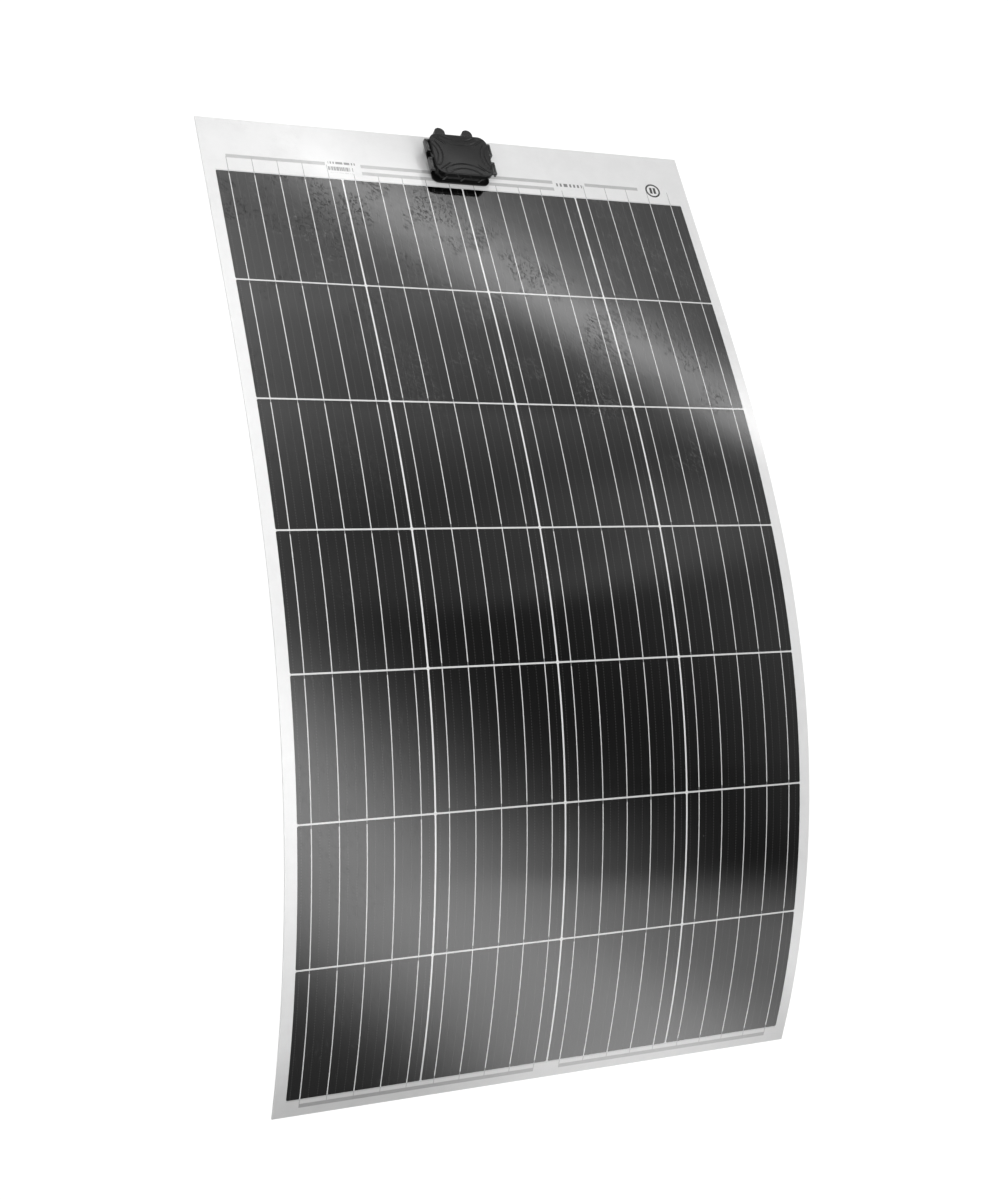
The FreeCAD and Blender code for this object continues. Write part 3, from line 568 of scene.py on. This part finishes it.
def sheet_place(graph):
    """Place on the sheet in millimetres: x, s, h, which bends with it."""
    return graph.node("ShaderNodeAttribute", attribute_name="sheet").outputs["Vector"]


# heights of the film's relief, in metres, and the slant of its streaks in degrees
PEEL_HEIGHT = 0.0000045
WAVE_HEIGHT = 0.00004
STREAK_HEIGHT = 0.000012
WRINKLE_DEPTH = 0.00016
STREAK_ANGLE = 40.0
FILM = {"Coat_Weight": 1.0, "Coat_Roughness": 0.05, "Coat_IOR": 1.55, "Specular_IOR_Level": 0.0}


def film_surface(graph, shader, place):
    """The clear film on top: fine orange peel, slow waves, streaks and clusters of short wrinkles."""
    x, s = graph.parts(place)
    slant = graph.node("ShaderNodeVectorRotate", {"Vector": place, "Angle": math.radians(STREAK_ANGLE)},
                       rotation_type="Z_AXIS").outputs["Vector"]
    height = graph.product(graph.noise(place, 0.55, 2.0), PEEL_HEIGHT)
    height = graph.math("ADD", height, graph.product(graph.noise(place, 0.02, 2.0), WAVE_HEIGHT))
    streaks = graph.noise(graph.scaled(slant, (0.07, 0.75, 0.1)), 1.0, 2.0)
    height = graph.math("ADD", height, graph.product(streaks, STREAK_HEIGHT))
    # most wrinkles lie near the end and the corner that were handled most
    worn = graph.product(graph.ramp(s, 60.0, 480.0, 0.06, 1.0), graph.ramp(x, -260.0, 0.0, 1.0, 0.25))
    for field_place, cluster_scale, low, high in (
            (graph.scaled(place, (0.20, 0.14, 0.1)), 0.013, 0.50, 0.62),
            (graph.scaled(slant, (0.08, 0.34, 0.1)), 0.010, 0.52, 0.64)):
        field = graph.noise(field_place, 1.0, 2.0, 0.5, 1.0)
        line = graph.ramp(graph.apart(field, 0.5), 0.0, 0.06, 1.0, 0.0)
        cluster = graph.ramp(graph.noise(place, cluster_scale, 3.0), low, high)
        broken = graph.ramp(graph.noise(field_place, 1.3, 1.0), 0.48, 0.58)
        wrinkle = graph.product(line, cluster, broken, worn)
        height = graph.math("ADD", height, graph.product(wrinkle, -WRINKLE_DEPTH))
    graph.plug(shader.inputs["Coat Normal"], graph.bump(height))


# ---------------------------------------------------------------- materials of the laminate

FINGER_PITCH = 1.6
DOT_PITCH = 3.2


def cell_material():
    """Dark silicon with contact fingers, dotted lines, a tone for each cell and tiny specks."""
    material, graph, shader = new_material("cell_silicon", Roughness=0.5, **FILM)
    place = sheet_place(graph)
    x, s = graph.parts(place)
    column = graph.math("DIVIDE", graph.math("ADD", x, (CELLS_WIDTH + GAP) / 2 / MM), PITCH / MM)
    row = graph.math("ADD", graph.math("DIVIDE", s, PITCH / MM), ROWS / 2)
    seed = graph.node("ShaderNodeCombineXYZ", {
        "X": graph.math("FLOOR", column), "Y": graph.math("FLOOR", row), "Z": 3.0}).outputs["Vector"]
    tone = graph.node("ShaderNodeTexWhiteNoise", {"Vector": seed}, noise_dimensions="3D").outputs["Value"]
    base = graph.math("ADD", graph.product(tone, 0.0008), 0.0012)
    grain = graph.math("SUBTRACT", graph.noise(place, 0.9, 3.0, 0.7), 0.5)
    base = graph.math("ADD", base, graph.product(grain, 0.006))
    finger = graph.apart(graph.math("FRACT", graph.math("DIVIDE", s, FINGER_PITCH)), 0.5)
    finger = graph.ramp(finger, 0.46, 0.49)
    base = graph.math("ADD", base, graph.product(finger, 0.01))
    # two dotted lines between neighbouring ribbons
    across = graph.math("FRACT", graph.product(graph.math("FRACT", column), PITCH / CELL * RIBBONS))
    line = graph.ramp(graph.apart(graph.apart(across, 0.5), 1 / 3), 0.010, 0.022, 1.0, 0.0)
    dots = graph.ramp(graph.apart(graph.math("FRACT", graph.math("DIVIDE", s, DOT_PITCH)), 0.5), 0.2, 0.3)
    base = graph.math("ADD", base, graph.product(line, dots, 0.03))
    base = graph.math("MAXIMUM", base, 0.0005)
    cellular = graph.node("ShaderNodeTexVoronoi", {"Vector": place, "Scale": 0.016}, feature="F1")
    speck = graph.ramp(cellular.outputs["Distance"], 0.006, 0.014, 1.0, 0.0)
    base = graph.math("ADD", base, graph.product(speck, 0.12))
    graph.plug(shader.inputs["Base Color"], graph.grey(base))
    film_surface(graph, shader, place)
    return material


def wire_material(name, low, high):
    """Tinned copper under the film, with long rolling marks."""
    material, graph, shader = new_material(name, Roughness=0.45, **FILM)
    place = sheet_place(graph)
    grain = graph.noise(graph.scaled(place, (4.0, 0.15, 1.0)), 1.0, 3.0)
    graph.plug(shader.inputs["Base Color"], graph.grey(graph.ramp(grain, 0.3, 0.7, low, high)))
    film_surface(graph, shader, place)
    return material


def bus_material():
    """Tinned bars seen through the film, with painted shade that makes them darker at the bottom end."""
    material, graph, shader = new_material("bus_tin", Roughness=0.5, **FILM)
    place = sheet_place(graph)
    grain = graph.noise(graph.scaled(place, (0.12, 2.0, 1.0)), 1.0, 3.0)
    tone = graph.ramp(grain, 0.3, 0.7, 0.45, 0.53)
    # painted shade: the bars at the bottom end are darkened to 70% of their tone
    tone = graph.product(tone, graph.ramp(graph.parts(place)[1], -100.0, 100.0, 0.7, 1.0))
    graph.plug(shader.inputs["Base Color"], graph.grey(tone))
    film_surface(graph, shader, place)
    return material


def skin_material():
    """White laminate under the clear film, greyer between the rows, with painted shade that darkens it
    towards the bottom end.
    """
    material, graph, shader = new_material("skin_white", Roughness=0.5, **FILM)
    place = sheet_place(graph)
    x, s = graph.parts(place)
    tone = graph.ramp(graph.noise(place, 0.04, 4.0, 0.6), 0.3, 0.7, 0.785, 0.815)
    fine = graph.math("SUBTRACT", graph.noise(place, 0.8, 2.0, 0.6), 0.5)
    tone = graph.math("ADD", tone, graph.product(fine, 0.03))
    row = graph.math("FRACT", graph.math("ADD", graph.math("DIVIDE", s, PITCH / MM), 0.5))
    in_gap = graph.ramp(graph.apart(row, 0.5), 0.492, 0.494)
    inside = graph.math("LESS_THAN", graph.math("ABSOLUTE", x), CELLS_WIDTH / MM / 2)
    tone = graph.product(tone, graph.math("SUBTRACT", 1.0, graph.product(in_gap, inside, 0.15)))
    # painted shade: the skin's tone falls to 72% over the last 120 mm of the bottom end
    tone = graph.product(tone, graph.ramp(s, BOTTOM_END / MM, BOTTOM_END / MM + 120.0, 0.72, 1.0))
    graph.plug(shader.inputs["Base Color"], graph.grey(tone))
    film_surface(graph, shader, place)
    return material


def substrate_material():
    """White glass-fibre sheet, with the weave showing faintly."""
    material, graph, shader = new_material("substrate_fibre", Roughness=0.42)
    place = sheet_place(graph)
    weave = graph.product(*[graph.math("SINE", graph.product(part, 5.2)) for part in graph.parts(place)])
    tone = graph.ramp(graph.noise(place, 0.05, 4.0, 0.6), 0.3, 0.7, 0.72, 0.80)
    tone = graph.math("ADD", tone, graph.product(weave, 0.012))
    graph.plug(shader.inputs["Base Color"], graph.grey(tone))
    graph.plug(shader.inputs["Normal"], graph.bump(graph.product(weave, 0.00001)))
    return material


PRINT_BLUR = 0.25


def window(graph, value, low, high):
    """1 where a value lies between low and high, with a soft edge."""
    half = (high - low) / 2
    return graph.ramp(graph.apart(value, (low + high) / 2), half - PRINT_BLUR, half + PRINT_BLUR, 1.0, 0.0)


def strokes(graph, x, per_mm, share, seed):
    """Upright strokes of uneven width, about the given share of them inked."""
    step = graph.math("FLOOR", graph.product(graph.math("ADD", x, seed), per_mm))
    chance = graph.node("ShaderNodeTexWhiteNoise", {"W": step}, noise_dimensions="1D").outputs["Value"]
    return graph.math("LESS_THAN", chance, share)


def label_material(name, middle, rows):
    """White printed film; a row is (low, high, left, right, strokes per mm, share inked, ink)."""
    material, graph, shader = new_material(name, Roughness=0.5, **FILM)
    place = sheet_place(graph)
    tone = graph.ramp(graph.noise(place, 0.2, 3.0), 0.3, 0.7, 0.785, 0.81)
    x, s = graph.parts(place)
    x = graph.math("SUBTRACT", x, middle[0] / MM)
    s = graph.math("SUBTRACT", s, (TOP_CELL_EDGE + middle[1]) / MM)
    for low, high, left, right, per_mm, share, ink in rows:
        inked = graph.product(window(graph, s, low, high), window(graph, x, left, right),
                              strokes(graph, x, per_mm, share, 40.0 + low))
        tone = graph.math("SUBTRACT", tone, graph.product(inked, ink))
    graph.plug(shader.inputs["Base Color"], graph.grey(tone))
    film_surface(graph, shader, place)
    return material


def print_material():
    """Black ink under the film, a little uneven."""
    material, graph, shader = new_material("label_ink", Roughness=0.5, **FILM)
    place = sheet_place(graph)
    tone = graph.ramp(graph.noise(place, 1.5, 3.0), 0.3, 0.7, 0.02, 0.05)
    graph.plug(shader.inputs["Base Color"], graph.grey(tone))
    film_surface(graph, shader, place)
    return material


# ---------------------------------------------------------------- materials of the junction box

def plastic_material(name, tone, roughness, gloss, grain):
    """Moulded plastic with a fine grain and worn, slightly uneven gloss."""
    material, graph, shader = new_material(name, IOR=1.5, Specular_IOR_Level=gloss)
    place = graph.node("ShaderNodeTexCoord").outputs["Object"]
    smear = graph.ramp(graph.noise(place, 60.0, 4.0, 0.6), 0.3, 0.7, 0.85, 1.15)
    graph.plug(shader.inputs["Base Color"], graph.grey(graph.product(smear, tone)))
    graph.plug(shader.inputs["Roughness"], graph.product(smear, roughness))
    graph.plug(shader.inputs["Normal"], graph.bump(graph.product(graph.noise(place, 3500.0, 2.0), grain)))
    return material


def metal_material(name, colour, roughness):
    """Rolled metal with fine scratches."""
    material, graph, shader = new_material(name, Metallic=1.0)
    place = graph.node("ShaderNodeTexCoord").outputs["Object"]
    scratch = graph.noise(graph.scaled(place, (300.0, 2500.0, 300.0)), 1.0, 3.0)
    dark = tuple(0.75 * part for part in colour)
    graph.plug(shader.inputs["Base Color"], graph.mix(graph.ramp(scratch, 0.3, 0.7), dark, colour))
    graph.plug(shader.inputs["Roughness"], graph.ramp(scratch, 0.3, 0.7, roughness * 0.8, roughness * 1.2))
    return material


# ---------------------------------------------------------------- junction box

FILM_TOP = 0.80 * MM
BOX_MIDDLE = TOP_CELL_EDGE + 37.5 * MM
# heights above the film and plan sizes of the box, in millimetres
PAD_TOP = 1.0
LID_LOW = 14.0
LID_TOP = 20.5
WALL = (72.0, 56.0, 10.0)
LID = (78.5, 63.0, 12.0)
LID_EASE = 0.9
LID_PLAY = 0.6
LID_INSIDE = 4.0
# the lid's relief: its crown, the arched grooves on each side, and the corner ridges
CROWN = 0.4
CROWN_HALF = (37.0, 29.0)
GROOVE = (0.42, 0.55)
SECOND_GROOVE = (0.3, 0.5)
SUNK = 0.2
RIDGE = (0.4, 0.6)
RIDGE_CORNER = (35.5, 27.5)
LATCH_OUTER = 44.8
LATCH_THICKNESS = 2.2
LATCH_LOW = 11.0
LATCH_TOP = 17.5
LATCH_PITCH = 29.0
LATCH_LENGTH = 19.0
LATCH_ARM = 3.0
BRIDGE_LOW = 15.4
RIB_PITCH = 24.0
RIB_LOW = PAD_TOP + 2.2
RIB_HEIGHT = 10.4
RIB_PROUD = 1.3


def box_place(x, y, z):
    """A point of the box's own frame, in millimetres, as a point of the CAD frame."""
    return put(x * MM, BOX_MIDDLE + y * MM, FILM_TOP + z * MM)


def rounded_outline(width, depth, radius, corner_steps=8, side_steps=6):
    """Points round a rectangle with round corners, centred on the origin."""
    points = []
    half_x, half_y = width / 2 - radius, depth / 2 - radius
    corners = ((half_x, half_y), (-half_x, half_y), (-half_x, -half_y), (half_x, -half_y))
    for number, (cx, cy) in enumerate(corners):
        for step in range(corner_steps + 1):
            angle = math.pi / 2 * (number + step / corner_steps)
            points.append((cx + radius * math.cos(angle), cy + radius * math.sin(angle)))
        nx, ny = corners[(number + 1) % 4]
        angle = math.pi / 2 * (number + 1)
        end = points[-1]
        start = (nx + radius * math.cos(angle), ny + radius * math.sin(angle))
        for step in range(1, side_steps):
            share = step / side_steps
            points.append((end[0] + (start[0] - end[0]) * share, end[1] + (start[1] - end[1]) * share))
    return points


class Moulding:
    """Closed lofts in the box's own frame, gathered into one mesh."""

    def __init__(self):
        self.points = []
        self.faces = []

    def loft(self, loops):
        """Joins loops of equal length, each a list of (x, y, z), and caps both ends."""
        rings = []
        for loop in loops:
            first = len(self.points)
            self.points.extend(tuple(box_place(*point)) for point in loop)
            rings.append(list(range(first, len(self.points))))
        count = len(rings[0])
        for near, far in zip(rings, rings[1:]):
            for i in range(count):
                j = (i + 1) % count
                self.faces.append((near[i], near[j], far[j], far[i]))
        self.faces.append(tuple(reversed(rings[0])))
        self.faces.append(tuple(rings[-1]))

    def block(self, centre, size, radius, low, high, ease=0.4):
        """An upright block with round corners and eased upper and lower edges."""
        profile = ((ease, low), (0.3 * ease, low + 0.3 * ease), (0.0, low + ease),
                   (0.0, high - ease), (0.3 * ease, high - 0.3 * ease), (ease, high))
        loops = []
        for inset, z in profile:
            outline = rounded_outline(size[0] - 2 * inset, size[1] - 2 * inset,
                                      max(radius - inset, 0.15), corner_steps=5)
            loops.append([(x + centre[0], y + centre[1], z) for x, y in outline])
        self.loft(loops)

    def piece(self, name, material):
        return make_piece(name, self.points, self.faces, material, MOULDING_CREASE)


def smooth(value):
    """Eased step from 0 to 1 while the value goes from 0 to 1."""
    value = min(1.0, max(0.0, value))
    return value * value * (3 - 2 * value)


def hump(distance, height, width):
    """Cross section of a rounded ridge, or of a groove where the height is negative."""
    return height * math.exp(-(distance / width) ** 2)


def lid_relief(x, y):
    """Height of the lid's top over its flat rim: a pair of arched grooves on each side and
    ridges that run from the corners towards the middle."""
    height = CROWN * max(0.0, 1 - (x / CROWN_HALF[0]) ** 2) * max(0.0, 1 - (y / CROWN_HALF[1]) ** 2)
    for across, level, radius, middle, chord, second in (
            (abs(x), y, 43.0, 58.0, 27.5, 7.0), (abs(y), x, 29.0, 55.5, 20.0, 5.5)):
        inside = radius - math.hypot(across, abs(level) - middle)
        ends = smooth((chord - across) / 2.0)
        height -= ends * (hump(inside, *GROOVE) + hump(inside - second, *SECOND_GROOVE))
        height -= SUNK * ends * smooth(inside / 1.2)
    slope = RIDGE_CORNER[1] / RIDGE_CORNER[0]
    off = abs(abs(y) - abs(x) * slope) / math.hypot(1.0, slope)
    reach = math.hypot(x, y) / math.hypot(*RIDGE_CORNER)
    ends = smooth((reach - 0.5) / 0.1) * smooth((0.96 - reach) / 0.06)
    return height + ends * hump(off, *RIDGE)


def lid_shell(moulding):
    """The lid's cap: hollow below, with a rounded rim and a relief on top."""
    flat = LID_TOP - 0.1
    hollow = (WALL[0] + LID_PLAY, WALL[1] + LID_PLAY, WALL[2] + LID_PLAY / 2)
    corner_steps, side_steps, rim_steps, rings = 32, 36, 5, 96

    def ring(inset, z, plan=LID):
        width, depth, radius = plan
        outline = rounded_outline(width - 2 * inset, depth - 2 * inset, max(radius - inset, 0.5),
                                  corner_steps, side_steps)
        return [(x, y, z) for x, y in outline]

    loops = [ring(0.0, LID_LOW + LID_INSIDE, hollow), ring(0.0, LID_LOW + 0.3, hollow),
             ring(0.3, LID_LOW), ring(0.0, LID_LOW + 0.3), ring(0.0, flat - LID_EASE)]
    for step in range(1, rim_steps + 1):
        angle = math.pi / 2 * step / rim_steps
        loops.append(ring(LID_EASE * (1 - math.cos(angle)), flat - LID_EASE + LID_EASE * math.sin(angle)))
    edge = loops[-1]
    for step in range(1, rings):
        share = 1 - step / rings
        loops.append([(x * share, y * share, flat + lid_relief(x * share, y * share)) for x, y, z in edge])
    moulding.loft(loops)


def latches(moulding):
    """Two looped latches on each side: a plate held off the lid by two arms and a top bridge."""
    plate = LATCH_OUTER - LATCH_THICKNESS / 2
    inner = LID[0] / 2 - 1.0
    arm = (LATCH_OUTER - 1.0 + inner) / 2
    for side in (-1, 1):
        for middle in (-LATCH_PITCH / 2, LATCH_PITCH / 2):
            moulding.block((side * plate, middle), (LATCH_THICKNESS, LATCH_LENGTH), 0.7,
                           LATCH_LOW, LATCH_TOP, 0.5)
            for end in (-1, 1):
                moulding.block((side * arm, middle + end * (LATCH_LENGTH - LATCH_ARM) / 2),
                               (LATCH_OUTER - 1.0 - inner, LATCH_ARM), 0.5, LID_LOW, LATCH_TOP, 0.4)
            moulding.block((side * (arm - 0.6), middle),
                           (LATCH_OUTER - LATCH_THICKNESS - inner, LATCH_LENGTH - 4.0), 0.3,
                           BRIDGE_LOW, LATCH_TOP - 0.9, 0.3)


def junction_lid():
    """The cap and its latches, which lift off together."""
    for name, build, material in (("lid_cap", lid_shell, BOX), ("lid_latches", latches, LATCH)):
        moulding = Moulding()
        build(moulding)
        piece = moulding.piece(name, material)
        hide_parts("jbox_lid")
        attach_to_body(piece, "lid")


def s_ribs(moulding):
    """Three narrow ribs on the wall that faces the cells, each bent like a long S."""
    front = -WALL[1] / 2
    steps = 24
    for middle in (-RIB_PITCH, 0.0, RIB_PITCH):
        loops = []
        for step in range(steps + 1):
            share = step / steps
            z = RIB_LOW + share * RIB_HEIGHT
            x = middle + 2.6 * (smooth(share) - 0.5) + 1.2 * (share - 0.5)
            proud = RIB_PROUD * min(1.0, 6 * share + 0.2, 6 * (1 - share) + 0.2)
            loops.append([(x - 0.9, front + 0.3, z), (x + 0.9, front + 0.3, z),
                          (x + 0.7, front - 0.6 * proud, z), (x + 0.3, front - proud, z),
                          (x - 0.3, front - proud, z), (x - 0.7, front - 0.6 * proud, z)])
        moulding.loft(loops)


def junction_box():
    """The lid is rebuilt with its relief; the other parts keep their CAD shapes, each with a finish."""
    looks = {
        "jbox_base": BASE, "jbox_gasket": RUBBER, "cable_seals": RUBBER,
        "jbox_adhesive_pad": RUBBER, "terminal_rails": BRASS, "cable_clamps": BRASS,
        "clamp_screws": STEEL, "lead_foils": TIN, "bypass_diodes": BOX,
    }
    for node, material in looks.items():
        mesh = frame["nodes"][node].data
        mesh.materials.clear()
        mesh.materials.append(material)
    junction_lid()
    ribs = Moulding()
    s_ribs(ribs)
    piece = ribs.piece("base_ribs", RIB)
    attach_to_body(piece, "row_1")


# ---------------------------------------------------------------- floor, light and camera

FLOOR_DROP = 55 * MM
FLOOR_HALF = 12.0


def floor_material():
    """Pale paper that glows, so that it reads as white from every side."""
    material, graph, shader = new_material("floor_paper", Roughness=0.9)
    place = graph.node("ShaderNodeTexCoord").outputs["Object"]
    tone = graph.ramp(graph.noise(place, 40.0, 4.0), 0.3, 0.7, 0.155, 0.165)
    graph.plug(shader.inputs["Base Color"], graph.mix(tone, 0.0, 1.0))
    shader.inputs["Emission Color"].default_value = (1.0, 1.0, 1.0, 1.0)
    shader.inputs["Emission Strength"].default_value = 0.93
    shader.inputs["Specular IOR Level"].default_value = 0.0
    return material


def floor():
    """Pale paper, low enough that the sheet's ends stay above it when it bends to its limit."""
    level = CAD_BOX[0][2] - FLOOR_DROP
    corners = [(-1, -1), (1, -1), (1, 1), (-1, 1)]
    mesh = bpy.data.meshes.new("floor")
    mesh.from_pydata([(x * FLOOR_HALF, y * FLOOR_HALF, level) for x, y in corners], [], [(0, 1, 2, 3)])
    mesh.materials.append(floor_material())
    piece = bpy.data.objects.new("floor", mesh)
    bpy.context.scene.collection.objects.link(piece)


# Soft sources of the studio, as azimuth from +Y towards +X and elevation of the middle, tilt of
# the long side against the horizon, half length, half width (all degrees), strength, and how
# hard the edge is. A source with a negative strength darkens what the others light.
LIGHTS = (
    (151.9, 20.5, 93, 29.9, 4.9, 3.3, 1.5),
    (33.7, 33.6, 29, 4.2, 1.37, 2.32, 1.5),
    (23.9, 36.5, 72, 11.5, 27.0, 1.26, 0.8),
    (103.0, 74.4, 155, 27.0, 4.38, 4.3, 0.9),
    (51.1, 54.1, 175, 6.0, 9.75, 0.65, 2.1),
    (24.4, 30.5, 13, 6.4, 0.97, 3.86, 1.2),
    (142.5, 48.0, 95, 18.5, 5.89, 3.7, 0.8),
    (120.8, 34.7, 141, 32.7, 9.1, 2.18, 1.3),
    (49.8, 40.2, 25, 11.8, 1.68, 6.04, 1.0),
    (138.9, 47.8, 157, 6.0, 15.34, -1.62, 0.6),
    (39.5, 35.5, 67, 4.0, 40.11, -0.37, 4.3),
    (18.7, 37.2, 72, 39.5, 2.31, 1.13, 0.6),
    (48.4, 55.9, 71, 7.4, 4.15, -0.37, 2.0),
    (-5.0, 20.0, 0, 50.0, 40.0, 0.27, 1.0),
    (-95.0, 45.0, 0, 60.0, 40.0, 0.2, 1.0),
    (-150.0, 12.0, 0, 9.0, 7.0, 5.0, 2.0),
    (-30.0, 6.0, 0, 22.0, 14.0, 0.7, 1.2),
)
AMBIENT = 0.06
DARKEST = 0.03
KEY_PLACE = (-0.516, 0.345, 1.08)
KEY_AIM = (0.0, 0.0, 0.15)
KEY_SIZE = 0.6
KEY_POWER = 4.8
# the camera in the plane of row 4: its place, the way it looks and its upward side
VIEW_FROM = (-0.87669, -0.40329, 1.72858)
VIEW_ALONG = (0.41902, 0.20353, -0.88487)
VIEW_UP = (0.02701, 0.97133, 0.23620)
VIEW_SENSOR = 36.0
VIEW_LENS = 52.0


def soft_source(graph, direction, source):
    """Light that one soft source sends from a direction."""
    azimuth, elevation, tilt, length, width = (math.radians(value) for value in source[:5])
    middle = Vector((math.sin(azimuth) * math.cos(elevation), math.cos(azimuth) * math.cos(elevation),
                     math.sin(elevation)))
    level = Vector((math.cos(azimuth), -math.sin(azimuth), 0.0))
    upward = level.cross(middle)
    upward = upward if upward.z > 0 else -upward
    long_side = math.cos(tilt) * level + math.sin(tilt) * upward
    short_side = -math.sin(tilt) * level + math.cos(tilt) * upward
    far = graph.math("DIVIDE", graph.vector("DOT_PRODUCT", direction, tuple(long_side)), length)
    near = graph.math("DIVIDE", graph.vector("DOT_PRODUCT", direction, tuple(short_side)), width)
    spread = graph.math("ADD", graph.math("MULTIPLY", far, far), graph.math("MULTIPLY", near, near))
    spread = graph.math("POWER", spread, source[6])
    glow = graph.math("EXPONENT", graph.math("MULTIPLY", spread, -1.0))
    facing = graph.math("GREATER_THAN", graph.vector("DOT_PRODUCT", direction, tuple(middle)), 0.0)
    return graph.math("MULTIPLY", graph.math("MULTIPLY", glow, facing), source[5])


def studio():
    """The soft sources as a world, which the camera itself sees as plain white."""
    world = bpy.data.worlds.new("studio")
    world.use_nodes = True
    bpy.context.scene.world = world
    graph = Graph(world.node_tree)
    direction = graph.node("ShaderNodeTexCoord").outputs["Generated"]
    total = AMBIENT
    for source in LIGHTS:
        total = graph.math("ADD", soft_source(graph, direction, source), total)
    total = graph.math("MAXIMUM", total, DARKEST)
    seen = graph.node("ShaderNodeLightPath").outputs["Is Camera Ray"]
    background = world.node_tree.nodes["Background"]
    graph.plug(background.inputs["Color"], graph.mix(seen, graph.node("ShaderNodeCombineColor", {
        "Red": total, "Green": total, "Blue": total}).outputs["Color"], 1.0))
    bpy.context.scene.view_settings.view_transform = "Standard"


def key_light():
    """A soft light near the left side of the sheet, above the junction box's half."""
    data = bpy.data.lights.new("key", "AREA")
    data.shape = "DISK"
    data.size = KEY_SIZE
    data.energy = KEY_POWER
    lamp = bpy.data.objects.new("key", data)
    lamp.location = KEY_PLACE
    aim = Vector(KEY_AIM) - lamp.location
    lamp.rotation_euler = aim.to_track_quat("-Z", "Y").to_euler()
    lamp.visible_camera = False
    lamp.visible_glossy = False
    bpy.context.scene.collection.objects.link(lamp)


def camera():
    """The photograph's view, set from the middle of the sheet's root row."""
    y, z, heading = along(0.0)
    row = Matrix.Translation((0, y, z)) @ Matrix.Rotation(heading, 4, "X")
    forward = Vector(VIEW_ALONG).normalized()
    right = forward.cross(Vector(VIEW_UP)).normalized()
    upward = right.cross(forward)
    turn = Matrix((right, upward, -forward)).transposed().to_4x4()
    data = bpy.data.cameras.new("camera")
    data.sensor_width = VIEW_SENSOR
    data.lens = VIEW_LENS
    eye = bpy.data.objects.new("camera", data)
    eye.matrix_world = row @ Matrix.Translation(VIEW_FROM) @ turn
    bpy.context.scene.collection.objects.link(eye)
    bpy.context.scene.camera = eye


CELLS = cell_material()
RIBBON = wire_material("ribbon_tin", 0.60, 0.76)
LINK = wire_material("link_tin", 0.30, 0.38)
BUS = bus_material()
SKIN = skin_material()
SUBSTRATE = substrate_material()
RATING_PRINT = label_material("label_rating", LABEL_LEFT, (
    (5.6, 9.0, -19.0, 16.0, 0.55, 0.55, 0.55), (-4.6, 1.4, -20.5, 12.0, 1.7, 0.6, 0.5),
    (-8.2, -7.2, -19.0, 11.0, 0.8, 0.6, 0.2)))
PLAIN_PRINT = label_material("label_plain", LABEL_RIGHT, ((-1.5, 3.5, -18.5, 18.5, 0.36, 0.62, 0.6),))
BLANK = label_material("label_blank", MARK, ())
PRINT = print_material()
BOX = plastic_material("box_black", 0.007, 0.16, 0.22, 0.000003)
BASE = plastic_material("base_black", 0.007, 0.2, 0.25, 0.000003)
LATCH = plastic_material("latch_black", 0.012, 0.2, 0.9, 0.000004)
# painted highlight: the ribs' black plastic gets a far lighter tone than the base's, standing in for the
# highlights on them
RIB = plastic_material("rib_painted_highlight", 0.06, 0.2, 0.9, 0.000004)
RUBBER = plastic_material("rubber_black", 0.02, 0.7, 0.5, 0.00002)
BRASS = metal_material("brass", (0.75, 0.62, 0.35), 0.3)
STEEL = metal_material("steel", (0.6, 0.6, 0.62), 0.3)
TIN = metal_material("tin", (0.66, 0.66, 0.66), 0.4)

laminate()
bus_bars()
label("label_left", "rating_label", LABEL_LEFT, LABEL_LEFT_SIZE, RATING_PRINT)
label("label_right", "plain_label", LABEL_RIGHT, LABEL_RIGHT_SIZE, PLAIN_PRINT)
label("label_mark", "handling_mark", MARK, MARK_SIZE, BLANK)
round_mark()
junction_box()
floor()
studio()
key_light()
camera()
